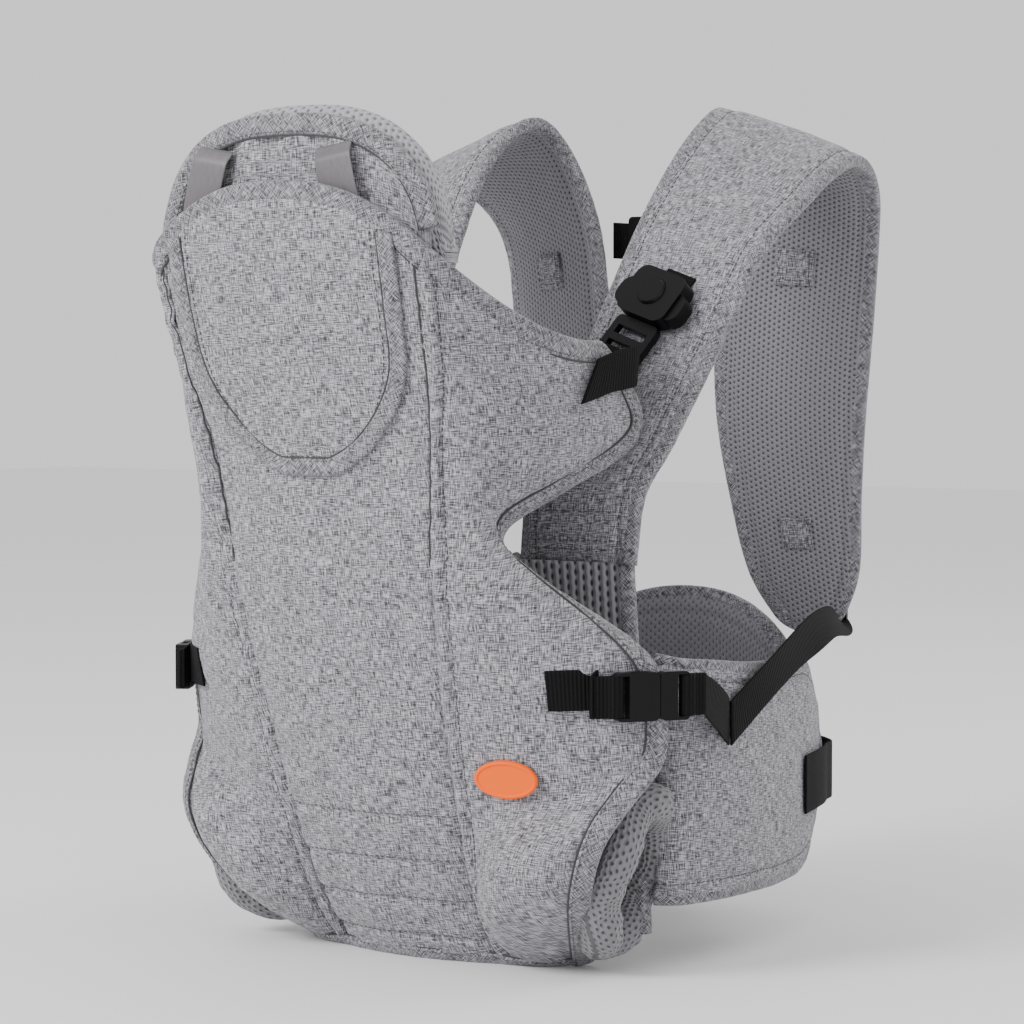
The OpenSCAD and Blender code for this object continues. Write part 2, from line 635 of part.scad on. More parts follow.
/* ---- Belt buckle and its webbing ---- */
belt_clip_w = belt_web_w + 5;
belt_clip_l = clip_l + 8;
module belt_socket() {
  on_back() socket(belt_clip_w, belt_clip_l);
}
module belt_plug() {
  on_back() plug(belt_clip_w, belt_clip_l);
}
module belt_prong(k) {
  on_back() prong(belt_clip_w, k);
}
belt_web_pts = [[162, 98, 105], [156.5, 120, 105], [148.5, 143, 105], [137.5, 165, 105], [125, 192, 105], [102, 211, 106], [70, 219, 107], [36, 223.4, 108]];
module belt_webbing(side) {
  legs = [for (k = [0:14]) [smooth(belt_web_pts, k / 14), [0, 0, -1]]];
  strip(legs, belt_web_w, side);
  on_back() web_loop(belt_web_w - 0.5, belt_clip_l / 2, -side, 10);
}

/* ---- Badge ---- */
badge_w = 40;
badge_h = 24;
badge_at = [103.8, -148.3, 129];
module badge() {
  color(orange) translate(badge_at) rotate([105, 0, 15])
    linear_extrude(2) polygon([for (k = [0:39]) [badge_w / 2 * cos(9 * k), badge_h / 2 * sin(9 * k)]]);
}

// The part stands with the middle of its foot at the origin
foot_middle = [0, -5, 6];
module place() {
  translate(-foot_middle) children();
}
place() panel_center();
place() panel_side(1);  // panel_side_left
place() panel_side(-1);  // panel_side_right
place() panel_lining();
place() panel_binding();
place() head_patch();
place() head_cover();
place() head_mesh();
place() head_binding();
place() head_bands();
place() inner_panel_cover();
place() inner_panel_mesh();
place() seat_pad();
place() leg_cuff(1);  // leg_cuff_left
place() leg_cuff(-1);  // leg_cuff_right
place() wing_cover(1);  // wing_cover_left
place() wing_cover(-1);  // wing_cover_right
place() wing_foam();
place() wing_mesh();
place() lumbar_cover();
place() lumbar_foam();
place() lumbar_mesh();
place() belt_bindings();
place() strap_cover(1);  // strap_cover_left
place() strap_cover(-1);  // strap_cover_right
place() strap_foam();
place() strap_mesh();
place() strap_bindings();
place() shoulder_tab(1);  // shoulder_tab_left
place() shoulder_tab(-1);  // shoulder_tab_right
place() shoulder_anchors();
place() strap_keepers();
place() side_stubs();
place() side_webbing(1);  // side_webbing_left
place() side_webbing(-1);  // side_webbing_right
place() cross_webbing();
place() belt_webbing(1);  // belt_webbing_left
place() belt_webbing(-1);  // belt_webbing_right
place() shoulder_housing(1);  // shoulder_housing_left
place() shoulder_housing(-1);  // shoulder_housing_right
place() shoulder_button(1);  // shoulder_button_left
place() shoulder_button(-1);  // shoulder_button_right
place() shoulder_tongue(1);  // shoulder_tongue_left
place() shoulder_tongue(-1);  // shoulder_tongue_right
place() side_socket(1);  // side_socket_left
place() side_socket(-1);  // side_socket_right
place() side_plug(1);  // side_plug_left
place() side_plug(-1);  // side_plug_right
place() side_prong(1, 1);  // side_prong_left_upper
place() side_prong(1, -1);  // side_prong_left_lower
place() side_prong(-1, 1);  // side_prong_right_upper
place() side_prong(-1, -1);  // side_prong_right_lower
place() strap_slider(1);  // strap_slider_left
place() strap_slider(-1);  // strap_slider_right
place() cross_slider();
place() belt_socket();
place() belt_plug();
place() belt_prong(1);  // belt_prong_upper
place() belt_prong(-1);  // belt_prong_lower
place() badge();
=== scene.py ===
"""Looks for a soft baby carrier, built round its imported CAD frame.

Every soft piece is a dense surface grid in the carrier's own millimetres, moved to the frame's metres
at the end. The carrier faces -Y, the wearer stands on the +Y side, and +X is the wearer's left.
"""
import math

import bpy
import numpy as np
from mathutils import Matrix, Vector, noise


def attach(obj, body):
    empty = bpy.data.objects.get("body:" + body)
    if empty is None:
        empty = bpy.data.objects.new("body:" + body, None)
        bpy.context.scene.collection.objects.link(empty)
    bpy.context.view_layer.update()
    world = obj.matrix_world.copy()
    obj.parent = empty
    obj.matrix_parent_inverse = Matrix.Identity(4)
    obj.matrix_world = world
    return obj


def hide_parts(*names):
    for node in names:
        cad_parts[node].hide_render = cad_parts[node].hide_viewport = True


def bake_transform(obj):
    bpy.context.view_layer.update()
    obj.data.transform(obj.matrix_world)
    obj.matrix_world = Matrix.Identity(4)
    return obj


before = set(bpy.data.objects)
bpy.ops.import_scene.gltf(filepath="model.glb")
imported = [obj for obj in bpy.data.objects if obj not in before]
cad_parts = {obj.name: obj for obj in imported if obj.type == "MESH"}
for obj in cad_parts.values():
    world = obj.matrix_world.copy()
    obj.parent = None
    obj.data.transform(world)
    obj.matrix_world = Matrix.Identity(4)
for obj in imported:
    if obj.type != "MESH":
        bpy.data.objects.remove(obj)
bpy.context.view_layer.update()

MM = 0.001
FOOT = np.array([0.0, -5.0, 6.0])  # the point of the carrier's own frame that stands at the origin
SIDES = (("left", 1), ("right", -1))

# Lines of the carrier, in mm, from the same driving points as the CAD
SEAM = [
    (59, -92, 8), (63, -120, 52), (67, -152, 130), (76, -180, 235), (84, -193, 320), (95, -212, 385),
    (99, -229, 446),
]
EDGE = [
    (104, -62, 8), (128, -100, 34), (146, -126, 62), (160, -133, 92), (170, -118, 116), (178, -98, 138),
    (180, -96, 158), (180, -98, 178), (177, -101, 194), (166, -107, 208), (145, -122, 226), (120, -142, 246),
    (103, -152, 262), (102, -150, 280), (116, -112, 301), (128, -66, 322), (131, -50, 340), (130, -66, 366),
    (127, -88, 388),
]
STRAP = [
    (95, -62, 252), (98, -58, 296), (105, -41, 330), (112, -2, 390), (120, 34, 450), (126, 70, 488),
    (127, 105, 513), (122, 142, 523), (112, 172, 503), (101, 188, 462), (95, 191, 400), (92, 193, 340),
    (93, 198, 285), (95, 206, 235), (96, 213, 203),
]
STRAP_ACROSS = [
    (1, 0, 0), (1, 0, 0), (0.985, -0.05, -0.1), (0.985, -0.09, -0.15), (0.985, -0.09, -0.15),
    (0.97, 0, -0.24), (0.95, 0.05, -0.3), (0.93, 0.15, -0.33), (0.92, 0.3, -0.28), (0.94, 0.33, -0.12),
    (0.95, 0.32, 0), (0.95, 0.31, 0), (0.95, 0.3, 0), (0.95, 0.3, 0), (0.95, 0.3, 0),
]
STRAP_W = [78, 80, 86, 92, 96, 100, 102, 102, 102, 102, 102, 96, 84, 70, 40]
WING = [(150, -60), (163, -52), (170, -20), (170, 20), (163, 70), (151, 118), (133, 162)]
WING_TOP = [54, 51, 48, 44, 42, 38, -8]
WING_LOW = [1, 1, 1, 1, 1, 0.9, 0.3]
WING_H = 142
BELT_MID = 124  # the height of the belt's middle line
LUMBAR_HALF = 124
LUMBAR_H = 158
HEAD_HALF = 107
HEAD_H = 96
HEAD_FOLD = (0, -209, 428)
WEB_W = 25  # the narrow webbing's width
BELT_WEB_W = 38
WEB_T = 1.6  # the webbing's thickness
CLIP_HALF = 24  # half the length of a side buckle's part, and of the belt buckle's
BELT_CLIP_HALF = 28
BUCKLE_T = 8

THREAD_R = 0.42  # half a stitch's thickness
LOOP_STEP = 1.2  # between the points of a webbing's loop
TAPE_IN = 11  # from the front panel's edge to the dent along its tape
SEAM_ROW = 7.5  # from the long seams to their rows of stitches
STRAP_ROW = 9  # from a strap's edge to its row of stitches
WING_MID = -3.6  # where the two faces of a wing meet, from its own surface
LUMBAR_MID = -4.2


# ---- Numbers and grids ----
def smooth(points, t):
    """A smooth curve through points or numbers, t from 0 to 1."""
    points = np.array(points, float)
    if points.ndim == 1:
        points = points[:, None]
    t = np.clip(np.asarray(t, float), 0, 1)
    last = len(points) - 1
    s = np.minimum(np.floor(t * last).astype(int), last - 1)
    f = (t * last - s)[..., None]
    b = points[s]
    c = points[s + 1]
    a = np.where(s[..., None] > 0, points[np.maximum(s - 1, 0)], 2 * b - c)
    d = np.where(s[..., None] + 2 <= last, points[np.minimum(s + 2, last)], 2 * c - b)
    return 0.5 * (2 * b + (c - a) * f + (2 * a - 5 * b + 4 * c - d) * f**2 + (3 * b - a - 3 * c + d) * f**3)


def unit(v):
    v = np.asarray(v, float)
    return v / np.maximum(np.linalg.norm(v, axis=-1, keepdims=True), 1e-9)


def steps(a, b, n):
    return np.linspace(a, b, n)


def rounded_steps(a, b, n):
    """Steps that crowd together towards both ends, for a rounded rim."""
    return a + (b - a) * 0.5 * (1 + np.sin(np.linspace(-0.5, 0.5, n) * math.pi))


def grid(f, rows, cols):
    """f(row value, column value) as a rows x cols x 3 array."""
    r, c = np.meshgrid(rows, cols, indexing="ij")
    return f(r, c)


def lengths(path):
    """How far along a path each of its points stands."""
    return np.concatenate([[0], np.cumsum(np.linalg.norm(np.diff(path, axis=0), axis=1))])


def everywhere(path, direction):
    """The same direction at each point of a path."""
    return np.zeros((len(path), 3)) + direction


def in_metres(points):
    """Points in the carrier's mm, in the frame's metres."""
    return (np.asarray(points, float) - FOOT) * MM


def rim_of(P):
    """The rim of a grid: up its first column, over its last row and down its last column."""
    return np.concatenate([P[:, 0], P[-1, 1:-1], P[::-1, -1]])


def normals(P):
    return unit(np.cross(np.gradient(P, axis=0), np.gradient(P, axis=1)))


def flip(P):
    """The mirror image of a grid, its columns turned round to keep its normals on the same face."""
    Q = P[:, ::-1].copy()
    Q[..., 0] *= -1
    return Q


def noise_over(P, size, seed, stretch=(1, 1, 1)):
    """Smooth noise from -1 to 1 over a grid, with features of that size in mm."""
    Q = (P / (size * np.array(stretch)) + seed * 13.7).reshape(-1, 3)
    return np.array([noise.noise(Vector(q)) for q in Q]).reshape(P.shape[:-1])


def crease(P, start, end, width, depth):
    """Height of a soft fold from start to end, fading out at both ends."""
    start = np.asarray(start, float)
    way = np.asarray(end, float) - start
    t = np.clip(((P - start) @ way) / (way @ way), 0, 1)
    off = np.linalg.norm(P - start - t[..., None] * way, axis=-1)
    return depth * np.exp(-((off / width) ** 2)) * np.sqrt(np.clip(4 * t * (1 - t), 0, 1))


def flat_uv(P):
    """Metres along the cloth from its middle, across and along."""
    across = np.zeros(P.shape[:2])
    across[:, 1:] = np.cumsum(np.linalg.norm(np.diff(P, axis=1), axis=-1), axis=1)
    across -= across[:, P.shape[1] // 2 : P.shape[1] // 2 + 1]
    along = np.zeros(P.shape[:2])
    along[1:] = np.cumsum(np.linalg.norm(np.diff(P, axis=0), axis=-1), axis=0)
    along = along.mean(axis=1, keepdims=True) * 0.7 + along * 0.3
    return np.stack([across, np.broadcast_to(along, across.shape)], axis=-1) * MM


# ---- Meshes ----
def mesh_object(name, points, faces, uv, material):
    """points in the carrier's mm, uv one pair for each point."""
    mesh = bpy.data.meshes.new(name)
    mesh.from_pydata([tuple(p) for p in in_metres(points)], [], faces)
    layer = mesh.uv_layers.new(name="cloth")
    order = np.zeros(len(mesh.loops), np.int32)
    mesh.loops.foreach_get("vertex_index", order)
    layer.data.foreach_set("uv", np.asarray(uv, np.float32)[order].ravel())
    mesh.materials.append(material)
    mesh.polygons.foreach_set("use_smooth", [True] * len(mesh.polygons))
    mesh.update()
    obj = bpy.data.objects.new(name, mesh)
    bpy.context.scene.collection.objects.link(obj)
    return obj


def grid_faces(n, m, start=0, turn=False, wrap=False):
    cols = m if wrap else m - 1
    faces = []
    for i in range(n - 1):
        for j in range(cols):
            k = (j + 1) % m
            low, high = start + i * m, start + (i + 1) * m
            a, b, c, d = low + j, low + k, high + k, high + j
            faces.append((a, d, c, b) if turn else (a, b, c, d))
    return faces


def tube_faces(n, m, closed=False):
    """The faces of a tube of n rings of m points, joined into a ring itself when closed."""
    faces = grid_faces(n, m, wrap=True)
    last = (n - 1) * m
    if closed:
        return faces + [(last + j, last + (j + 1) % m, (j + 1) % m, j) for j in range(m)]
    return faces + [tuple(range(m - 1, -1, -1)), tuple(last + j for j in range(m))]


def shell(name, top, low, material, uv=None):
    """A closed piece of cloth between two grids; top lies on the side of the grid's normals."""
    n, m = top.shape[:2]
    half = n * m
    uv = flat_uv(top) if uv is None else uv
    faces = grid_faces(n, m, 0, turn=True) + grid_faces(n, m, half)
    rim = list(range(m))
    rim += [i * m + m - 1 for i in range(1, n)]
    rim += [(n - 1) * m + j for j in range(m - 2, -1, -1)]
    rim += [i * m for i in range(n - 2, 0, -1)]
    for k, a in enumerate(rim):
        b = rim[(k + 1) % len(rim)]
        faces.append((a, b, b + half, a + half))
    points = np.concatenate([top.reshape(-1, 3), low.reshape(-1, 3)])
    return mesh_object(name, points, faces, np.concatenate([uv.reshape(-1, 2)] * 2), material)


def sweep(name, path, ups, section, material, closed=False, ripple=0.0):
    """A band along path; section gives (across, up) in mm, ups where up points, ripple how uneven it is."""
    path = np.asarray(path, float)
    along = np.gradient(path, axis=0)
    if closed:
        along = np.roll(path, -1, axis=0) - np.roll(path, 1, axis=0)
    along = unit(along)
    across = unit(np.cross(along, ups))
    up = np.cross(across, along)
    section = np.asarray(section, float)
    points = path[:, None] + across[:, None] * section[None, :, :1] + up[:, None] * section[None, :, 1:]
    if ripple:
        wave = noise_over(points, 7, 3)
        points = points + up[:, None] * (ripple * wave)[..., None]
    n, m = points.shape[:2]
    u, v = np.meshgrid(lengths(path), lengths(section), indexing="ij")
    uv = np.stack([v, u], axis=-1) * MM
    faces = tube_faces(n, m, closed)
    return mesh_object(name, points.reshape(-1, 3), faces, uv.reshape(-1, 2), material)


def oval(width, thick, n=12, square=0.6):
    """The section of a folded tape, a squarish oval."""
    a = np.linspace(0, 2 * math.pi, n, endpoint=False)
    x = np.sign(np.cos(a)) * np.abs(np.cos(a)) ** square * width / 2
    y = np.sign(np.sin(a)) * np.abs(np.sin(a)) ** square * thick / 2
    return np.stack([x, y], axis=1)


def joined(name, objects):
    """Several mesh objects as one."""
    keep = objects[0]
    with bpy.context.temp_override(active_object=keep, object=keep, selected_editable_objects=objects):
        bpy.ops.object.join()
    keep.name = name
    return keep


def stitches(name, path, ups, length=3.0, space=1.6):
    """A row of single stitches along a path in mm, half sunk in the cloth."""
    path = np.asarray(path, float)
    ups = np.asarray(ups)
    d = lengths(path)
    count = int(d[-1] / (length + space))
    points, faces = [], []
    for k in range(count):
        s = (k + 0.5) * d[-1] / count
        ends = [np.array([np.interp(s + e * length / 2, d, path[:, x]) for x in range(3)]) for e in (-1, 1)]
        up = unit(np.array([np.interp(s, d, ups[:, x]) for x in range(3)]))
        side = unit(np.cross(ends[1] - ends[0], up))
        base = len(points)
        for f, w in ((0, 0.2), (0.25, 1), (0.75, 1), (1, 0.2)):  # places along a stitch, thin at its ends
            p = ends[0] + (ends[1] - ends[0]) * f
            points += [p + side * THREAD_R * w, p + up * THREAD_R * 1.3 * w]
            points += [p - side * THREAD_R * w, p - up * THREAD_R * w]
        for r in range(3):
            for q in range(4):
                a = base + r * 4 + q
                b = base + r * 4 + (q + 1) % 4
                faces.append((a, b, b + 4, a + 4))
        faces.append((base + 3, base + 2, base + 1, base))
        faces.append((base + 12, base + 13, base + 14, base + 15))
    # In the thread colour that also holds the painted shade of the stitch lines
    return mesh_object(name, points, faces, np.zeros((len(points), 2)), THREAD_PAINTED_SHADE)


# ---- Materials ----
class Nodes:
    """A short way to write a material's node tree."""

    def __init__(self, name):
        self.material = bpy.data.materials.new(name)
        self.material.use_nodes = True
        self.tree = self.material.node_tree
        self.shader = self.tree.nodes["Principled BSDF"]

    def add(self, kind, inputs=None, **settings):
        node = self.tree.nodes.new(kind)
        for key, value in settings.items():
            setattr(node, key, value)
        for key, value in (inputs or {}).items():
            if isinstance(value, bpy.types.NodeSocket):
                self.tree.links.new(value, node.inputs[key])
            else:
                node.inputs[key].default_value = value
        return node

    def math(self, operation, a, b=0.0):
        return self.add("ShaderNodeMath", {0: a, 1: b}, operation=operation).outputs[0]

    def uv(self):
        return self.add("ShaderNodeUVMap", uv_map="cloth").outputs[0]

    def stretched(self, vector, scale, turn=0.0):
        node = self.add("ShaderNodeMapping", {"Vector": vector, "Scale": scale, "Rotation": (0, 0, turn)})
        return node.outputs[0]

    def noise(self, vector, detail=1.0, rough=0.5):
        inputs = {"Vector": vector, "Scale": 1.0, "Detail": detail, "Roughness": rough}
        return self.add("ShaderNodeTexNoise", inputs).outputs[0]

    def ramp(self, value, stops):
        node = self.add("ShaderNodeValToRGB", {0: value})
        ramp = node.color_ramp
        while len(ramp.elements) < len(stops):
            ramp.elements.new(0.5)
        for element, (place, colour) in zip(ramp.elements, stops):
            element.position = place
            element.color = (*colour, 1)
        return node.outputs[0]

    def bump(self, height, strength, distance):
        node = self.add("ShaderNodeBump", {"Height": height, "Strength": strength, "Distance": distance})
        self.tree.links.new(node.outputs[0], self.shader.inputs["Normal"])

    def set(self, **values):
        for key, value in values.items():
            self.shader.inputs[key.replace("_", " ")].default_value = value

    def colour(self, socket):
        self.tree.links.new(socket, self.shader.inputs["Base Color"])


def grey(value):
    """A grey with a little violet in it."""
    return (value, value * 0.975, value * 1.075)


def times(colour, share):
    return tuple(c * share for c in colour)


def heather(name, tone=1.0, turn=0.0):
    """Heathered plain weave: pale and dark threads that run both ways."""
    n = Nodes(name)
    uv = n.stretched(n.uv(), (1, 1, 1), turn)
    fine = 1750  # streaks per metre, across the threads
    slow = 165  # streaks per metre, along them
    warp = n.noise(n.stretched(uv, (fine, slow, 1)), 1.0, 0.6)
    weft = n.noise(n.stretched(uv, (slow, fine, 1)), 1.0, 0.6)
    cross = n.math("MULTIPLY", n.math("ADD", warp, weft), 0.5)
    cloud = n.noise(n.stretched(uv, (60, 60, 1)), 2.0)
    mixed = n.math("ADD", cross, n.math("MULTIPLY", n.math("SUBTRACT", cloud, 0.5), 0.08))
    shades = ((0.37, 0.03), (0.44, 0.1), (0.5, 0.2), (0.61, 0.47))
    n.colour(n.ramp(mixed, [(place, grey(shade * tone)) for place, shade in shades]))
    n.bump(mixed, 0.5, 0.0006)
    n.set(Roughness=0.88, Sheen_Weight=0.18, Sheen_Roughness=0.5, Specular_IOR_Level=0.25)
    return n.material


def knit(name, dark, light, size, ribs=0.0):
    """Spacer mesh: rows of small round holes, ribs adding a raised line between the rows, and painted shade
    that darkens the holes.
    """
    n = Nodes(name)
    uv = n.uv()
    xy = n.add("ShaderNodeSeparateXYZ", {0: uv})
    k = 2 * math.pi / (size * MM)
    x = n.math("MULTIPLY", xy.outputs[0], k)
    y = n.math("MULTIPLY", xy.outputs[1], k)
    total = n.math("COSINE", x)
    for s in (-1, 1):
        slanted = n.math("ADD", n.math("MULTIPLY", x, 0.5 * s), n.math("MULTIPLY", y, 0.866))
        total = n.math("ADD", total, n.math("COSINE", slanted))
    if ribs:
        total = n.math("ADD", total, n.math("MULTIPLY", n.math("COSINE", x), ribs))
    # height grows into the holes, so the bump below takes 1 - height
    height = n.math("MULTIPLY", n.math("ADD", total, 1.5), 1 / (4.5 + ribs))
    grain = n.noise(n.stretched(uv, (1500, 1500, 1)), 2.0)
    tone = n.math("ADD", height, n.math("MULTIPLY", n.math("SUBTRACT", grain, 0.5), 0.25))
    # Painted shade: the colour goes from light on the face to dark at the bottom of the holes
    n.colour(n.ramp(tone, [(0.15, light), (0.5, light), (0.8, dark), (1.0, times(dark, 0.7))]))
    n.bump(n.math("SUBTRACT", 1.0, height), 0.9, 0.0012)
    n.set(Roughness=0.8, Sheen_Weight=0.25, Sheen_Roughness=0.4)
    return n.material


def ribbed(name, colour, pitch):
    """Woven webbing: cross ribs, lightened on their crests and darkened between them as painted light and
    shade, and a slight sheen from a low specular.
    """
    n = Nodes(name)
    xy = n.add("ShaderNodeSeparateXYZ", {0: n.uv()})
    rib = n.math("SINE", n.math("MULTIPLY", xy.outputs[1], 2 * math.pi / (pitch * MM)))
    cord = n.math("SINE", n.math("MULTIPLY", xy.outputs[0], 2 * math.pi / (1.1 * MM)))
    total = n.math("ADD", rib, n.math("MULTIPLY", cord, 0.35))
    shade = n.math("ADD", n.math("MULTIPLY", total, 0.25), 0.5)
    # Painted light and shade: the colour rises on the crests of the ribs and falls in the troughs
    n.colour(n.ramp(shade, [(0.1, times(colour, 0.5)), (0.9, times(colour, 1.7))]))
    n.bump(total, 0.6, 0.0004)
    n.set(Roughness=0.7, Specular_IOR_Level=0.1)
    return n.material


def satin(name, colour):
    n = Nodes(name)
    fine = n.noise(n.stretched(n.uv(), (2200, 120, 1)), 1.0)
    n.colour(n.ramp(fine, [(0.3, times(colour, 0.8)), (0.7, times(colour, 1.15))]))
    n.bump(fine, 0.2, 0.0003)
    n.set(Roughness=0.42, Sheen_Weight=0.3, Anisotropic=0.4)
    return n.material


def plastic(name, colour, rough, grain=0.0):
    n = Nodes(name)
    where = n.add("ShaderNodeTexCoord").outputs["Object"]
    speck = n.noise(n.stretched(where, (2600, 2600, 2600)), 2.0)
    uneven = n.ramp(speck, [(0.3, (rough - 0.05,) * 3), (0.7, (rough + 0.08,) * 3)])
    n.tree.links.new(uneven, n.shader.inputs["Roughness"])
    n.bump(speck, 0.12 + grain, 0.0002)
    n.set(Base_Color=(*colour, 1), Specular_IOR_Level=0.16)
    return n.material


def thread(name, colour):
    n = Nodes(name)
    n.set(Base_Color=(*colour, 1), Roughness=0.6, Sheen_Weight=0.2)
    return n.material


FABRIC = heather("heather_weave")
BIAS = heather("bias_weave", tone=0.82, turn=math.radians(45))
DARK_FABRIC = heather("heather_weave_dark", tone=0.9)
STRAP_MESH = knit("strap_knit", grey(0.06), grey(0.22), 3.3)
BELT_MESH = knit("belt_knit", grey(0.11), grey(0.2), 3.4)
CROWN_MESH = knit("crown_knit", grey(0.14), grey(0.36), 4.6, ribs=0.6)
CUFF_MESH = knit("cuff_knit", grey(0.05), grey(0.19), 3.6, ribs=0.5)
GUSSET_MESH = knit("gusset_knit", grey(0.03), grey(0.26), 5.4, ribs=4.0)
WEBBING = ribbed("black_webbing", (0.0045, 0.0045, 0.005), 2.4)
SATIN = satin("taupe_satin", (0.105, 0.096, 0.104))
BLACK = plastic("black_plastic", (0.004, 0.004, 0.0045), 0.36)
BUTTON = plastic("black_button", (0.005, 0.005, 0.0055), 0.28)
# Stitch thread, made dark so that it also carries the painted shade of the stitch lines
THREAD_PAINTED_SHADE = thread("thread_painted_shade", (0.05, 0.048, 0.054))
# Near-black colour of the painted shadow lines along seams and tapes
SHADOW_CORD = thread("seam_shadow", (0.02, 0.02, 0.022))
ORANGE = plastic("orange_rubber", (1.0, 0.13, 0.0), 0.42, grain=0.1)


def cut_size(P):
    """What a grid of cloth in mm was cut to, in metres: its widest row and longest column, and its area."""
    width = np.linalg.norm(np.diff(P, axis=1), axis=-1).sum(axis=1).max() * MM
    long = np.linalg.norm(np.diff(P, axis=0), axis=-1).sum(axis=0).max() * MM
    d1 = P[1:, 1:] - P[:-1, :-1]
    d2 = P[1:, :-1] - P[:-1, 1:]
    area = np.linalg.norm(np.cross(d1, d2), axis=-1).sum() / 2 * MM * MM
    return (float(width), float(long)), float(min(area, width * long))


def done(obj, body, nodes=(), cut=None):
    """Puts a piece on its body; cut is the grid of a sheet of cloth."""
    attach(obj, body)
    if nodes:
        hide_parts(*nodes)
    if cut is not None:
        flat, area = cut_size(cut)
    return obj


# ---- Cloth surfaces ----
class Cloth:
    """A surface f(row, column), both from 0 to 1, with its heights and the means to find a place on it."""

    def __init__(self, f, rows, cols, crowd=(False, False)):
        self.crowd = crowd
        self.r = self.shares(rows, crowd[0])
        self.c = self.shares(cols, crowd[1])
        self.P = grid(f, self.r, self.c)
        self.N = normals(self.P)
        self.top = self.P

    @staticmethod
    def shares(n, crowded):
        return rounded_steps(0, 1, n) if crowded else steps(0, 1, n)

    def flipped(self):
        other = object.__new__(Cloth)
        other.crowd, other.r, other.c = self.crowd, self.r, 1 - self.c[::-1]
        other.P = flip(self.P)
        other.N = normals(other.P)
        other.top = other.P
        return other

    def raise_by(self, height):
        self.top = self.P + self.N * height[..., None]
        return self

    def index(self, share, n, crowded):
        share = np.clip(share, 0, 1)
        if crowded:
            return (np.arcsin(2 * share - 1) / math.pi + 0.5) * (n - 1)
        return share * (n - 1)

    def at(self, r, c, lift=0.0):
        """Points on the raised surface, and the normals there."""
        r, c = np.broadcast_arrays(np.asarray(r, float), np.asarray(c, float))
        n, m = self.P.shape[:2]
        i = self.index(r, n, self.crowd[0])
        j = self.index(c, m, self.crowd[1])
        i0 = np.clip(i.astype(int), 0, n - 2)
        j0 = np.clip(j.astype(int), 0, m - 2)
        fi = (i - i0)[..., None]
        fj = (j - j0)[..., None]

        def mix(A):
            low = A[i0, j0] * (1 - fj) + A[i0, j0 + 1] * fj
            high = A[i0 + 1, j0] * (1 - fj) + A[i0 + 1, j0 + 1] * fj
            return low * (1 - fi) + high * fi

        up = unit(mix(self.N))
        return mix(self.top) + up * lift, up


def profile(cloth, power):
    """1 over most of a cloth, falling to 0 in a round at its rim."""
    r = np.abs(2 * cloth.r - 1)[:, None]
    c = np.abs(2 * cloth.c - 1)[None, :]
    return np.sqrt(np.clip((1 - r ** power[0]) * (1 - c ** power[1]), 0, 1))


def waves(P, seed, broad=1.9, middle=1.2):
    """Heights of uneven cloth, in three sizes of wave."""
    height = broad * noise_over(P, 74, seed, (1, 1, 1.5))
    height += middle * noise_over(P, 27, seed + 1, (1, 1, 1.7))
    height += 0.35 * noise_over(P, 9, seed + 2)
    return height


def puckers(P, distance, seed, depth=0.8, reach=9.0, stretch=(3, 3, 1)):
    """Small gathers that run square to a seam and fade away from it."""
    return depth * noise_over(P, 7.5, seed, stretch) * np.exp(-distance / reach)


def line_of(cloth, name, r, c):
    """A row of stitches on the carrier's cloth, along the rows r and columns c."""
    P, up = cloth.at(r, c, lift=0.12)
    done(stitches(name, P, up, length=2.8, space=1.3), "carrier")


def softened(path):
    """A path with its corners rounded, its ends kept."""
    path = np.asarray(path, float).copy()
    for _ in range(3):
        path[1:-1] = (path[:-2] + 2 * path[1:-1] + path[2:]) / 4
    return path


def even(path, step, *others):
    """The path, and any lists that go with it, at even steps along its length."""
    path = np.asarray(path, float)
    d = lengths(path)
    s = np.linspace(0, d[-1], max(4, int(d[-1] / step)))

    def at_steps(a):
        return np.stack([np.interp(s, d, np.asarray(a)[:, k]) for k in range(3)], axis=1)

    return [at_steps(a) for a in (path, *others)] if others else at_steps(path)


def painted_shadow_line(name, path, ups, body):
    """A painted shadow line along a seam's gap: a cord in a flat shadow colour, mostly sunk in the cloth."""
    done(sweep(name, path, ups, oval(1.4, 1.4, 6, 1), SHADOW_CORD), body)


def bias_tape(name, path, ups, nodes=(), *, width, thick, inner=1, shift=0.0, body="carrier"):
    """A folded tape round a raw edge, moved in by shift and sewn down along its inner side."""
    path, ups = even(path, 3.0, ups)
    path = softened(path)
    ups = unit(softened(ups))
    along = unit(np.gradient(path, axis=0))
    across = unit(np.cross(along, ups))
    up = np.cross(across, along)
    path = path + across * inner * shift
    section = oval(width, thick, 14, 0.6)
    done(sweep(name, path, ups, section, BIAS, ripple=0.45), body, nodes)
    row = path + across * inner * (width / 2 - 2.0) + up * (thick / 2 - 0.45)
    done(stitches(name + "_stitches", row, up, length=2.6, space=1.3), body)
    # A painted shadow line along the tape's inner edge
    painted_shadow_line(name + "_painted_shade", path + across * inner * (width / 2 + 0.1) + up * thick * 0.22, up, body)


# ---- Front panel ----
def seam(t):
    return smooth(SEAM, t)


def panel_share(r):
    """The share of the panel's height at a row, just short of both ends."""
    return 0.006 + 0.99 * r


def center_at(u, t):
    """The middle panel, u from -1 at the right seam to 1 at the left."""
    s = seam(t)
    rise = 36 * (1 - np.abs(u) ** 2.4) * t**5
    return np.stack([u * s[..., 0], s[..., 1] - 11 * (1 - u * u), s[..., 2] + rise], axis=-1)


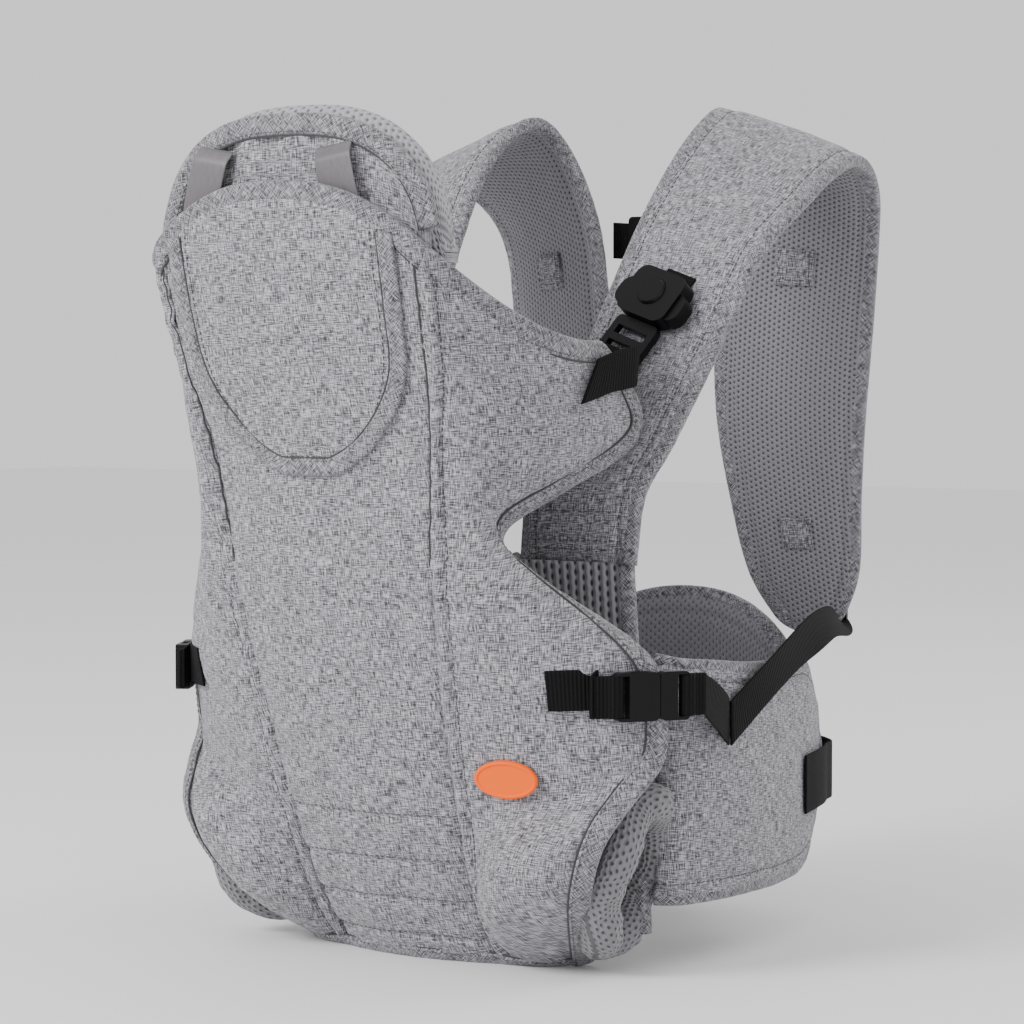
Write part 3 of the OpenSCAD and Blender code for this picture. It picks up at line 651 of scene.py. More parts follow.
def side_at(q, t):
    """The left side panel, q from 0 at its seam to 1 at its edge."""
    s = seam(t)
    d = smooth(EDGE, t) - s
    out = unit(np.stack([d[..., 1], -d[..., 0], 0 * d[..., 0]], axis=-1))
    low = np.where(t < 0.27, 10 * np.sin(np.minimum(t, 0.27) / 0.27 * math.pi), 0)
    bulge = 15 * np.minimum(1, np.linalg.norm(d, axis=-1) / 110) + low
    sag = np.zeros_like(d)
    sag[..., 2] = 18 * t**8
    return s + q[..., None] * d + (out * bulge[..., None] - sag) * (4 * q * (1 - q))[..., None]


def t_at_height(z):
    """The share of the panel's height where its middle stands at z."""
    t = steps(0, 1, 400)
    return float(np.interp(z, center_at(0 * t, t)[:, 2], t))


ROWS = [t_at_height(z) for z in (23, 47, 73, 102)]  # rows of quilting stitches above the panel's foot
COVER = 1.8  # the covers' thickness
PANEL_LONG = 470  # the front panel's height along the cloth


def stitched_dent(distance, width=1.7):
    return np.exp(-((distance / width) ** 2))


def panel_uv(P):
    """Metres round the pouch from its front and up from its foot, so that the threads stay level."""
    step = np.linalg.norm(np.diff(P[..., :2], axis=1), axis=-1)
    across = np.concatenate([np.zeros((len(P), 1)), np.cumsum(step, axis=1)], axis=1)
    middle = np.abs(P[..., 0]).argmin(axis=1)
    across -= np.take_along_axis(across, middle[:, None], axis=1)
    return np.stack([across, P[..., 2]], axis=-1) * MM


def fade(distance, width):
    """0 at an edge, rising smoothly to 1 at that width."""
    t = np.clip(distance / width, 0, 1)
    return t * t * (3 - 2 * t)


# Folds of the middle panel and of the left side panel: from, to, half width and height, in mm
MIDDLE_FOLDS = [
    ((-15, -175, 190), (-62, -180, 236), 6, -1.8),
    ((-20, -190, 300), (-70, -185, 262), 8, 1.8),
    ((15, -175, 190), (62, -180, 236), 6, -1.8),
    ((20, -190, 300), (70, -185, 262), 8, 1.8),
    ((-58, -160, 150), (20, -175, 172), 6, 2.2),
    ((50, -168, 120), (-25, -170, 138), 6, 2.0),
    ((60, -172, 205), (5, -182, 196), 6, 2.0),
]
FLANK_FOLDS = [
    ((104, -170, 262), (84, -185, 320), 6, 3.6),
    ((106, -158, 275), (92, -195, 352), 6, 3.0),
    ((112, -165, 240), (80, -185, 205), 7, 3.2),
    ((108, -160, 256), (78, -186, 268), 6, -2.6),
    ((108, -160, 250), (76, -184, 238), 6, 2.6),
    ((160, -118, 200), (96, -165, 188), 8, 2.8),
    ((168, -112, 185), (105, -160, 160), 7, -2.4),
    ((128, -75, 352), (98, -170, 372), 8, 3.0),
    ((128, -80, 335), (92, -185, 338), 7, -2.8),
    ((126, -95, 318), (94, -190, 300), 7, 2.6),
    ((150, -128, 72), (82, -150, 92), 7, 2.6),
    ((150, -128, 110), (84, -150, 130), 7, -2.0),
    ((140, -120, 50), (76, -135, 48), 7, 2.4),
]


def panel_middle():
    # Normals point out of the pouch, so columns run from +X to -X
    middle = Cloth(lambda r, c: center_at(1 - 2 * c, panel_share(r)), 320, 130)
    u = np.abs(1 - 2 * middle.c)[None, :]
    half = seam(middle.r)[:, 0][:, None]
    from_seam = (1 - u) * half
    from_top = (1 - middle.r)[:, None] * PANEL_LONG
    calm = fade(from_top, 26)
    height = COVER + waves(middle.P, 3) * calm + 1.3 * (1 - u**6)
    height -= 1.6 * np.exp(-((from_seam / 3.0) ** 2))
    height += puckers(middle.P, from_seam, 21, 1.2)
    height -= 0.9 * stitched_dent(from_top - TAPE_IN)
    z = middle.P[..., 2]
    for t in ROWS:
        off = z - center_at(np.zeros(1), np.full(1, t))[0, 2]
        height -= 1.3 * stitched_dent(off, 2.2)
        height += puckers(middle.P, np.abs(off), 31, 0.8, 7, (1, 1, 3))
    for fold in MIDDLE_FOLDS:
        height += crease(middle.P, *fold)
    middle.raise_by(height)
    low = middle.P + middle.N * (height - COVER)[..., None]
    piece = shell("panel_center_cloth", middle.top, low, FABRIC, panel_uv(middle.P))
    done(piece, "carrier", ["panel_center"], cut=middle.top)
    for k, t in enumerate(ROWS):
        line_of(middle, f"panel_row_{k + 1}", np.full(60, t), steps(0.03, 0.97, 60))


def panel_flanks():
    lap = 0.035  # how far a side panel laps over the middle, as a share of its width
    left = Cloth(lambda r, c: side_at(1 - (1 + lap) * c, panel_share(r)), 300, 100)
    q = (1 - (1 + lap) * left.c)[None, :]
    wide = np.linalg.norm(smooth(EDGE, left.r) - seam(left.r), axis=1)[:, None]
    from_seam = q * wide
    from_edge = (1 - q) * wide
    from_top = (1 - left.r)[:, None] * PANEL_LONG
    for side, sign in SIDES:
        cloth = left if sign > 0 else left.flipped()
        near = from_seam[:, ::sign]
        far = from_edge[:, ::sign]
        calm = fade(far, 24) * fade(from_top, 24)
        height = COVER + waves(cloth.P, 5 + sign, 2.4, 1.5) * calm
        height += 2.4 * np.exp(-(((near - 2.5) / 3.0) ** 2)) - 1.5 * stitched_dent(near - SEAM_ROW, 1.4)
        height -= 2.4 * np.clip(-near / 3.5, 0, 1)
        height += 1.5 * np.clip(near / 20, 0, 1) * calm
        seam_puckers = puckers(cloth.P, near, 41 + sign, 1.5, 13)
        height += seam_puckers + puckers(cloth.P, far, 43 + sign, 0.8, 14) * calm
        height -= stitched_dent(far - TAPE_IN, 2.0) + stitched_dent(from_top - TAPE_IN, 2.0)
        flip_x = np.array((sign, 1, 1))
        for start, end, width, depth in FLANK_FOLDS:
            height += crease(cloth.P, start * flip_x, end * flip_x, width, depth) * np.maximum(calm, 0.3)
        cloth.raise_by(height)
        low = cloth.P + cloth.N * (height - COVER)[..., None]
        piece = shell(f"panel_side_{side}_cloth", cloth.top, low, FABRIC, panel_uv(cloth.P))
        done(piece, "carrier", [f"panel_side_{side}"], cut=cloth.top)
        rows = steps(0.01, 0.975, 300)
        share = (1 - SEAM_ROW / np.interp(rows, left.r, wide[:, 0])) / (1 + lap)
        line_of(cloth, f"seam_{side}_stitches", rows, share if sign > 0 else 1 - share)
        # A painted shadow line where the side panel laps over the middle
        edge = np.full(300, 1 - 0.3 * lap)
        P, up = cloth.at(rows, edge if sign > 0 else 1 - edge, lift=0.25)
        painted_shadow_line(f"seam_{side}_painted_shade", P, up, "carrier")


def front_panel():
    panel_middle()
    panel_flanks()
    rows = steps(0, 1, 280)
    flank = grid(lambda r, c: side_at(1 - c, panel_share(r)), rows, steps(0, 1, 60))
    middle = grid(lambda r, c: center_at(1 - 2 * c, panel_share(r)), rows, steps(0.02, 0.98, 60))
    whole = np.concatenate([flank[:, :-1], middle, flip(flank)[:, 1:]], axis=1)
    N = normals(whole)
    deep = -(5.0 + 0.8 * noise_over(whole, 40, 9))
    low = whole + N * (deep - 2.0)[..., None]
    lining = shell("panel_lining_cloth", whole + N * deep[..., None], low, BELT_MESH, panel_uv(whole))
    done(lining, "carrier", ["panel_lining"], cut=whole)

    ups = rim_of(N)
    outline = rim_of(whole) + ups * 0.4
    bias_tape("panel_bias", outline, ups, ["panel_binding"], width=14, thick=7.4, inner=-1, shift=3.8)
    bias_tape("panel_foot_bias", whole[0] + N[0] * 0.5, N[0], width=9, thick=7, shift=1.5)


def patch_share(r):
    """The share of the panel's height at a row of the head patch."""
    return 0.645 + 0.337 * r


def patch_half(b):
    """The patch's half width, as a share of the middle panel's, with a rounded foot."""
    return 0.82 * np.sqrt(np.clip(1 - 0.93 * (1 - np.minimum(1, b / 0.55)) ** 2.2, 0.0001, 1))


def patch_at(r, c):
    return center_at((1 - 2 * c) * patch_half(r), patch_share(r))


def head_patch():
    patch = Cloth(patch_at, 140, 110, (True, True))
    calm = fade((0.99 - patch_share(patch.r[:, None])) * PANEL_LONG, 26)
    under = COVER + waves(patch.P, 3) * calm + 1.0
    puff = profile(patch, (7, 7))
    height = under + 0.9 + 2.6 * puff + 0.4 * noise_over(patch.P, 18, 12)
    patch.raise_by(height)
    low = patch.P + patch.N * under[..., None]
    piece = shell("head_patch_cloth", patch.top, low, FABRIC, panel_uv(patch.P))
    done(piece, "carrier", ["head_patch"], cut=patch.top)
    b = np.concatenate([steps(1, 0.004, 90), np.zeros(30), steps(0.004, 1, 90)])
    c = np.concatenate([np.zeros(90), steps(0, 1, 30), np.ones(90)])
    path, up = patch.at(b, c)
    bias_tape("head_patch_bias", path + up * 0.9, up, width=11, thick=4.0, shift=1.0)
    line_of(patch, "head_patch_stitches", 0.045 + b * 0.955, 0.5 + (c - 0.5) * 0.87)


# ---- Head support ----
def head_at(a, b, half, rise):
    top = (rise - 2) * np.clip(1 - np.abs(a) ** 2.8, 0, 1) ** 0.45
    return np.stack([a * half, HEAD_FOLD[1] - 16 + 12 * a * a + 0 * b, HEAD_FOLD[2] + 6 + b * top], axis=-1)


def head_support():
    body = "head_support"
    cover = Cloth(
        lambda r, c: head_at((1 - 2 * c) * 0.99, r, HEAD_HALF - 8, HEAD_H - 13), 90, 150, (False, True)
    )
    x = cover.P[..., 0]
    b = cover.r[:, None]
    pleats = 2.4 * np.sin(x / 5.5 + 1.5 * noise_over(cover.P, 30, 4)) * b**2 * (0.4 + 0.6 * b)
    height = 2.0 + pleats + 2.0 * (1 - b) + 0.8 * noise_over(cover.P, 22, 6)
    cover.raise_by(height)
    low = cover.P + cover.N * 0.2
    done(shell("head_cover_cloth", cover.top, low, FABRIC), body, ["head_cover"], cut=cover.top)

    pad = Cloth(lambda r, c: head_at((2 * c - 1) * 0.995, r, HEAD_HALF - 2, HEAD_H), 70, 160, (True, True))
    full = profile(pad, (5, 14))
    full = np.where((2 * pad.r - 1)[:, None] < 0, np.maximum(full, 0.7), full)
    ribs = 0.7 * noise_over(pad.P, 12, 8)
    top = pad.P + pad.N * (14 + 15 * full + ribs)[..., None]
    low = pad.P + pad.N * (14 - 12 * full)[..., None]
    done(shell("head_mesh_pad", top, low, CROWN_MESH), body, ["head_mesh"])

    a = steps(-0.985, 0.985, 120)
    arc = head_at(a, np.ones(120), HEAD_HALF - 7, HEAD_H - 12) - (0, 2.5, 0)
    bias_tape("head_bias", arc, everywhere(arc, (0, -1, 0)), ["head_binding"], width=13, thick=7, body=body)

    bands = []
    for side in (-1, 1):
        rows = steps(0, 1, 30)
        x = side * (57 - 12 * rows) - 8
        # From behind the panel's top edge to under the head's own tape
        y = -230.5 - 1.2 * np.sin(rows * math.pi) + 4 * np.clip((rows - 0.85) / 0.15, 0, 1)
        path = np.stack([x, y, 456 + 47 * rows], axis=1)
        across = everywhere(path, (1, 0, 0.16 * side))
        bands.append(ribbon(f"head_band_{side}", path, across, 26, 1.0, SATIN))
    done(joined("head_bands_satin", bands), body, ["head_bands"])


# ---- Webbing ----
def ribbon(name, path, across, width=WEB_W, thick=WEB_T, material=WEBBING):
    """A flat band; across is the direction of its width, longer than 1 where its end is cut at a slant."""
    path = np.asarray(path, float)
    across = np.asarray(across, float)
    along = unit(np.gradient(path, axis=0))
    up = unit(np.cross(unit(across), along))
    # Its section, with rounded edges, as shares of half the width and of the thickness
    half = [-1, -0.985, -0.93, -0.5, 0, 0.5, 0.93, 0.985, 1, 0.985, 0.93, 0.5, 0, -0.5, -0.93, -0.985]
    rise = [0, 0.42, 0.5, 0.5, 0.5, 0.5, 0.5, 0.42, 0, -0.42, -0.5, -0.5, -0.5, -0.5, -0.5, -0.42]
    half = np.array(half)
    rise = np.array(rise)
    points = path[:, None] + across[:, None] * (half * width / 2)[None, :, None]
    points = points + up[:, None] * (rise * thick)[None, :, None]
    n, m = points.shape[:2]
    u, v = np.meshgrid(lengths(path), half * width / 2, indexing="ij")
    uv = np.stack([v, u], axis=-1) * MM
    return mesh_object(name, points.reshape(-1, 3), tube_faces(n, m), uv.reshape(-1, 2), material)


def blended(web, body, start, end, *nodes):
    """Hides the webbing's CAD nodes and bakes its place into its mesh; body, start and end are not used."""
    if nodes:
        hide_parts(*nodes)
    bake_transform(web)


def turn(axis, degrees):
    """The matrix of a turn about x or z."""
    a = math.radians(degrees)
    c, s = math.cos(a), math.sin(a)
    if axis == "x":
        return np.array([[1, 0, 0], [0, c, -s], [0, s, c]])
    return np.array([[c, -s, 0], [s, c, 0], [0, 0, 1]])


# Where the left side buckle, the shoulder buckle, the belt buckle and the strap slider stand, and how turned
FLANK = (np.array([181.4, -110, 180]), turn("z", 58) @ turn("x", 90))
CLASP = (np.array([113, 1.2, 413.1]), turn("x", 57) @ turn("z", -20))
BACK = (np.array([0, 226.5, 108]), turn("z", 180) @ turn("x", 90))
STRAP_END = (np.array([99.3, 224, 212]), turn("z", 17) @ turn("z", 180) @ turn("x", 90))


def put(points, place, side=1):
    """Points of a local frame in the carrier's, mirrored for the right side."""
    at, R = place
    out = np.asarray(points, float) @ R.T + at
    out[..., 0] *= side
    return out


def aim(direction, place, side=1):
    return put(np.asarray(direction, float), (np.zeros(3), place[1]), side)


def side_line(points, step=LOOP_STEP):
    """Even steps along a line that is given in a buckle's own y and z."""
    return even([(0, y, z) for y, z in points], step)


def local_ribbon(name, line, place, sign):
    """A band of webbing along a line in a buckle's own frame, its width across the buckle."""
    path = put(line, place, sign)
    return ribbon(name, path, everywhere(path, aim((1, 0, 0), place, sign)))


def bar_loop(half, direction, tail, back):
    """The line of a webbing round the bar at a buckle's end, from its tail in front to its run behind."""
    low = BUCKLE_T / 2 - 0.9
    near = half - 4.7
    line = [
        (half + tail, -low + WEB_T + 0.1), (half + 8, -low + WEB_T + 0.4), (half + 4.5, -0.4),
        (half + 1.5, low - 0.3), (half - 1, low), (near + 1, low), (near, low - 1), (near, -low + 1),
        (near + 1, -low), (half, -low), (half + back, -low),
    ]
    return even([(direction * x, 0, z) for x, z in line], LOOP_STEP)


def side_webbing(side, sign):
    """From the side buckle's plug to a fold on the belt, then up to the strap's end."""
    fold = np.array([178, -20, 156.0])
    loop = put(bar_loop(CLIP_HALF, 1, 11, 12), FLANK)
    tail = loop[-1]
    rise = [fold, (177, 30, 180), (166, 90, 198), (149, 150, 206), (122, 210, 200), (100, 229.5, 203)]
    down = unit(fold - tail)
    up = unit(np.array(rise[1]) - fold)
    across_down = unit(np.cross(down, (1, 0.1, 0)))
    across_up = unit(np.cross(up, (1, 0.1, 0)))
    miter = unit(across_down + across_up)
    miter = miter / (miter @ across_down)
    run = tail + (fold - tail) * steps(0.06, 1, 24)[:, None]
    run[:, 0] += 2.0 * np.sin(steps(0, 1, 24) * math.pi)
    share = steps(0, 1, 24)[:, None]
    late = np.clip((share - 0.75) / 0.25, 0, 1)
    run_across = unit((0, 0, -1.0) + (across_down - (0, 0, -1.0)) * np.clip(share * 2.5, 0, 1))
    run_across = run_across * (1 - late) + miter * late
    first = np.concatenate([loop, run])
    first_across = np.concatenate([everywhere(loop, (0, 0, -1)), run_across])
    t = steps(0, 1, 80)
    second = smooth(rise, t) + np.array((1.9, 0, 0)) * np.clip(1 - 3 * t, 0, 1)[:, None]
    twist = [across_up, across_up, (0.55, -0.45, -0.7), (0.956, 0.29, 0)]
    second_across = unit(smooth(twist, t))
    early = np.clip(1 - t / 0.08, 0, 1)[:, None]
    second_across = second_across * (1 - early) + miter * early
    mirror = np.array((sign, 1, 1))
    pieces = []
    for k, (path, across) in enumerate(((first, first_across), (second, second_across))):
        pieces.append(ribbon(f"side_webbing_{side}_{k}", path * mirror, across * mirror))
    web = joined(f"side_webbing_{side}_band", pieces)
    blended(web, f"side_plug_{side}", fold * mirror, tail * mirror, f"side_webbing_{side}")


def slider_loop(side, sign):
    """The webbing round the strap slider's lower bar."""
    line = side_line((
        (-16, 3.3), (-5, 3.3), (-3.4, 3.0), (-3.4, -3.0), (-2.4, -3.3), (2.4, -3.3), (3.4, -3.0),
        (3.4, 3.0), (2.4, 3.4), (-10, 5.0), (-13, 5.0),
    ), 1.0)
    loop = local_ribbon(f"slider_loop_{side}", line, STRAP_END, sign)
    low = put((0, -16, 3.3), STRAP_END, sign)
    high = put((0, -7, 3.3), STRAP_END, sign)
    blended(loop, f"strap_slider_{side}", low, high)


def strap_keeper(side, sign):
    """The webbing sewn in the strap's end, round the slider's upper bar."""
    line = side_line((
        (29, -3.8), (15, -3.8), (7.4, -3.6), (7.0, 0), (7.4, 3.6), (14.6, 3.6), (15, 0), (15.6, -2.2),
        (27, -2.2),
    ))
    return local_ribbon(f"strap_keeper_{side}", line, STRAP_END, sign)


def side_stub(side, sign):
    """The webbing stub sewn on the flank, and its loop round the socket's bar."""
    out = aim((0, 0, 1), FLANK)
    q = steps(0.47, 0.71, 16)
    on_panel = side_at(q, np.full(16, 0.415)) + out * 5.0
    loop = put(bar_loop(CLIP_HALF, -1, 11, 14), FLANK)[::-1]
    path = even(np.concatenate([on_panel, loop]), LOOP_STEP)
    share = steps(0, 1, len(path))[:, None]
    low, high = side_at(np.full(2, 0.5), np.array((0.39, 0.44)))
    along = unit(high - low)
    across = unit(along + (np.array((0, 0, 1.0)) - along) * np.clip(share * 2.5, 0, 1))
    mirror = np.array((sign, 1, 1))
    return ribbon(f"side_stub_{side}", path * mirror, across * mirror)


def belt_webbing(side, sign):
    """From under a wing's rear end round to the belt buckle at the middle of the back."""
    points = [
        (162, 98, 105), (156.5, 120, 105), (148.5, 143, 105), (137.5, 165, 105), (125, 192, 105),
        (102, 211, 106), (70, 219, 107), (40, 223.0, 108),
    ]
    path = smooth(points, steps(0, 1, 110))
    path[:, 2] += 1.2 * np.sin(steps(0, 1, 110) * 2 * math.pi)
    loop = put(bar_loop(BELT_CLIP_HALF, -sign, 11, 9), BACK)[::-1]
    path = np.concatenate([path * (sign, 1, 1), loop])
    path = even(path, 1.4)
    path[: len(path) // 2] = softened(path)[: len(path) // 2]
    name = f"belt_webbing_{side}"
    web = ribbon(name + "_band", path, everywhere(path, (0, 0, -1)), BELT_WEB_W)
    if sign > 0:
        done(web, "carrier", [name])
    else:
        blended(web, "belt_plug", (-160, 100, 105), (-38, 223, 108), name)


def webbings():
    keepers = []
    stubs = []
    for side, sign in SIDES:
        side_webbing(side, sign)
        slider_loop(side, sign)
        keepers.append(strap_keeper(side, sign))
        stubs.append(side_stub(side, sign))
    done(joined("strap_keepers_band", keepers), "carrier", ["strap_keepers"])
    done(joined("side_stubs_band", stubs), "carrier", ["side_stubs"])

    for side, sign in SIDES:
        belt_webbing(side, sign)

    half = 54
    x = steps(-half, half, 60)
    path = np.stack([x, 195.2 + 0 * x, 461 - 2.0 * (1 - (x / half) ** 2)], axis=1)
    cross = ribbon("cross_webbing_band", path, everywhere(path, (0, 0, 1)))
    done(cross, "carrier", ["cross_webbing"])


# ---- Pouch: inner panel, seat and leg cuffs ----
INNER_H = 232  # its top laps 6 mm over the straps' front ends


def inner_at(a, b):
    """The inner panel, a from -1 to 1 across it and b up it, with a dip in the middle of its top."""
    dip = np.where(np.abs(a) < 0.4, 26 * (1 - (a / 0.4) ** 2), 0)
    half = 146 - 14 * b
    return np.stack([a * half, -70 + 12 * a * a, 26 + (INNER_H - dip) * b], axis=-1)


def inner_panel():
    inner = Cloth(lambda r, c: inner_at((2 * c - 1) * 0.975, 0.01 + 0.975 * r), 100, 130)
    wave = waves(inner.P, 61, 2.0, 0.8)
    front = inner.P - inner.N * (3.2 - wave)[..., None]
    mid = inner.P + inner.N * (0.2 + wave)[..., None]
    back = inner.P + inner.N * (2.0 + wave)[..., None]
    done(shell("inner_panel_knit", mid, front, GUSSET_MESH), "carrier", ["inner_panel_mesh"])
    done(shell("inner_panel_cloth", back, mid, DARK_FABRIC), "carrier", ["inner_panel_cover"], cut=mid)
    dip = np.abs(2 * inner.c - 1) < 0.44
    bias_tape("inner_panel_top_bias", mid[-1][dip], inner.N[-1][dip], width=10, thick=8, inner=-1)
    for name, column, inward in (("right", 0, -1), ("left", -1, 1)):
        path, ups = mid[:, column], inner.N[:, column]
        bias_tape(f"inner_panel_{name}_bias", path, ups, width=10, thick=8, inner=inward)

    seat = Cloth(
        lambda r, c: np.stack(
            [(2 * c - 1) * 92, (-90 + 12 * (2 * c - 1) ** 2) * (1 - r) - 62 * r, 9 + 8 * r**2], axis=-1
        ),
        40, 90, (True, True),
    )
    full = profile(seat, (4, 6))
    top = seat.P + seat.N * (4.2 * full)[..., None]
    low = seat.P - seat.N * (4.2 * full + 0.3 * noise_over(seat.P, 9, 5))[..., None]
    done(shell("seat_pad_knit", top, low, BELT_MESH), "carrier", ["seat_pad"])


def leg_cuffs():
    s = np.linspace(0, 2 * math.pi, 220, endpoint=False)
    tall = np.where(np.sin(s) > 0, 46, 40)
    ring = np.stack(
        [144 + 14 * np.sin(s) - 6 * np.cos(s), -81 + 30 * np.cos(s), 66 + tall * np.sin(s)], axis=1
    )
    ring[:, 0] += 2.5 * np.sin(5 * s + 0.6)  # soft folds round the ring
    for side, sign in SIDES:
        path = ring * (sign, 1, 1)
        ups = everywhere(path, (sign, 0, 0.2))
        section = oval(24, 26, 26, 0.9)
        cuff = sweep(f"leg_cuff_{side}_knit", path, ups, section, CUFF_MESH, closed=True, ripple=2.2)
        done(cuff, "carrier", [f"leg_cuff_{side}"])


# ---- Waist belt ----
def wing_at(s, v):
    p = smooth(WING, s)
    high = BELT_MID + 20 + smooth(WING_TOP, s)[..., 0]
    low = BELT_MID - 14 - (WING_H - 80) * smooth(WING_LOW, s)[..., 0]
    return np.stack([p[..., 0], p[..., 1], low + (high - low) * v], axis=-1)


def half_pad(name, cloth, mid, rise, material, nodes):
    """One face of a flat pad; rise is how far it stands off the pad's middle, negative behind it."""
    middle = cloth.P + cloth.N * mid
    face = cloth.P + cloth.N * (mid + rise)[..., None]
    top, low = (face, middle) if rise.mean() > 0 else (middle, face)
    cloth.top = face
    done(shell(name, top, low, material), "carrier", nodes)


def wings():
    for side, sign in SIDES:
        wing = Cloth(lambda r, c: wing_at(0.003 + 0.985 * r, 0.008 + 0.984 * c), 200, 90, (False, True))
        if sign < 0:
            wing = wing.flipped()
        v = np.abs(2 * wing.c - 1)[None, :]
        full = profile(wing, (26, 7))
        wave = waves(wing.P, 71 + sign, 1.6, 0.9)
        wave += 1.2 * noise_over(wing.P, 24, 75, (1, 1, 3.5)) * v
        dent = 1.5 * np.exp(-(((v - 0.86) / 0.03) ** 2))
        outer = (0.6 + 6.0 * full) - dent + wave * full
        inner = -(0.6 + 5.8 * full) + 0.8 * dent + 0.6 * noise_over(wing.P, 16, 77)
        nodes = [f"wing_cover_{side}", "wing_foam"]
        half_pad(f"wing_{side}_cover", wing, WING_MID, outer, FABRIC, nodes)
        for edge, share in (("foot", 0.07), ("top", 0.93)):
            share = share if sign > 0 else 1 - share
            line_of(wing, f"wing_{side}_{edge}_stitches", steps(0.01, 0.97, 260), np.full(260, share))
        half_pad(f"wing_{side}_lining", wing, WING_MID, inner, BELT_MESH, ["wing_mesh"])
        path, ups = rim_of(wing.P + wing.N * WING_MID), rim_of(wing.N)
        bias_tape(f"wing_{side}_bias", path, ups, ["belt_bindings"], width=13, thick=8, inner=-1, shift=3)


def lumbar_at(a, v):
    high = BELT_MID - 12 + (LUMBAR_H - 52) * np.clip(1 - np.abs(a) ** 2.2, 0, 1) ** 0.6
    low = BELT_MID - 22 - 52 * np.clip(1 - np.abs(a) ** 2.6, 0, 1) ** 0.6
    return np.stack([a * LUMBAR_HALF, 214 - 34 * a * a, low + (high - low) * v], axis=-1)


def lumbar():
    pad = Cloth(lambda r, c: lumbar_at((2 * c - 1) * 0.985, 0.01 + 0.98 * r), 100, 200, (True, True))
    full = profile(pad, (7, 14))
    wave = waves(pad.P, 81, 1.4, 0.8)
    v = np.abs(2 * pad.r - 1)[:, None]
    dent = 1.4 * np.exp(-(((v - 0.84) / 0.035) ** 2))
    outer = 0.6 + 4.6 * full - dent + np.minimum(wave, 0.8) * full
    inner = -(0.6 + 8.6 * full) + dent + 0.7 * noise_over(pad.P, 18, 83)
    nodes = ["lumbar_cover", "lumbar_foam"]
    half_pad("lumbar_pad_cover", pad, LUMBAR_MID, outer, FABRIC, nodes)
    for edge, share in (("foot", 0.08), ("top", 0.92)):
        line_of(pad, f"lumbar_{edge}_stitches", np.full(200, share), steps(0.04, 0.96, 200))
    half_pad("lumbar_pad_lining", pad, LUMBAR_MID, inner, BELT_MESH, ["lumbar_mesh"])
    a = np.concatenate([steps(-0.995, 0.995, 140), steps(0.995, -0.995, 140)])
    v = np.concatenate([np.zeros(140), np.ones(140)])
    path = lumbar_at(a, v) + (0, LUMBAR_MID, 0)
    ups = everywhere(path, (0, 1, 0))
    bias_tape("lumbar_bias", path, ups, ["belt_bindings"], width=13, thick=8, shift=3)


# ---- Shoulder straps ----
def strap_share(r):
    """The share of a strap's length at a row, just short of both ends."""
    return 0.002 + 0.996 * r


def strap_at(t, q):
    across = unit(smooth(STRAP_ACROSS, t))
    return smooth(STRAP, t) + across * (smooth(STRAP_W, t)[..., 0] * q)[..., None]


def strap_cloth():
    """The strap's middle surface, with its rear tip rounded off; normals point to the wearer."""
    def f(r, c):
        t = strap_share(r)
        q = c - 0.5
        P = strap_at(t, q)
        tip = np.clip((t - 0.94) / 0.06, 0, 1)
        P[..., 2] -= 9 * tip**2 * (1 - (2 * q) ** 2)
        return P
    return Cloth(f, 420, 60, (False, True))


def sewn_tab(name, cloth, r, c, size, material):
    """A small square of cloth sewn on a strap's lining."""
    n = 16
    rows = steps(r - size[1], r + size[1], n)
    cols = steps(c - size[0], c + size[0], n)
    R, C = np.meshgrid(rows, cols, indexing="ij")
    P, up = cloth.at(R, C)
    x = np.abs(steps(-1, 1, n))
    full = np.sqrt(np.clip((1 - x[:, None] ** 8) * (1 - x[None, :] ** 8), 0, 1))
    wave = 0.5 * noise_over(P, 9, 91)
    top = P + up * (1.6 + 0.8 * full + wave)[..., None]
    low = P - up * 0.6
    done(shell(name, top, low, material), "carrier")
    for k, share in enumerate((0.12, 0.88)):
        i = int(share * (n - 1))
        done(stitches(f"{name}_stitches_{k}", top[i], up[i]), "carrier")
        done(stitches(f"{name}_stitches_{k + 2}", top[:, i], up[:, i]), "carrier")


def straps():
    for side, sign in SIDES:
        strap = strap_cloth()
        if sign < 0:
            strap = strap.flipped()
        q = np.abs(2 * strap.c - 1)[None, :]
        wide = smooth(STRAP_W, strap_share(strap.r))[:, 0][:, None]
        from_edge = (1 - q) * wide / 2
        full = profile(strap, (60, 5))
        off_row = from_edge - STRAP_ROW
        dent = 1.3 * stitched_dent(off_row, 2.0)
        wave = waves(strap.P, 51 + sign, 0.9, 0.6) + puckers(strap.P, np.abs(off_row), 55, 0.6, 6, (3, 1, 1))
        outer = -(1.0 + 5.2 * full - dent + wave * full)
        inner = 1.0 + 5.0 * full - dent + 0.5 * noise_over(strap.P, 14, 57)
        nodes = [f"strap_cover_{side}", "strap_foam"]
        half_pad(f"strap_{side}_cover", strap, 0.0, outer, FABRIC, nodes)
        strap.N = -strap.N
        for k, edge in enumerate((-1, 1)):
            rows = steps(0.01, 0.95, 420)
            share = 0.5 + edge * (0.5 - STRAP_ROW / np.interp(rows, strap.r, wide[:, 0]))
            line_of(strap, f"strap_{side}_stitches_{k}", rows, share)
        for k, row in enumerate((0.014, 0.022, 0.05)):
            line_of(strap, f"strap_{side}_end_stitches_{k}", np.full(50, row), steps(0.08, 0.92, 50))
        strap.N = -strap.N
        half_pad(f"strap_{side}_lining", strap, 0.0, inner, STRAP_MESH, ["strap_mesh"])
        for k, (row, name) in enumerate(((0.36, "front"), (0.67, "crown"), (0.89, "rear"))):
            sewn_tab(f"strap_{side}_{name}_tab", strap, row, 0.5, (0.13, 0.014), DARK_FABRIC)
        path, ups = rim_of(strap.P), -rim_of(strap.N)
        bias_tape(f"strap_{side}_bias", path, ups, ["strap_bindings"], width=12, thick=8, shift=2.5)


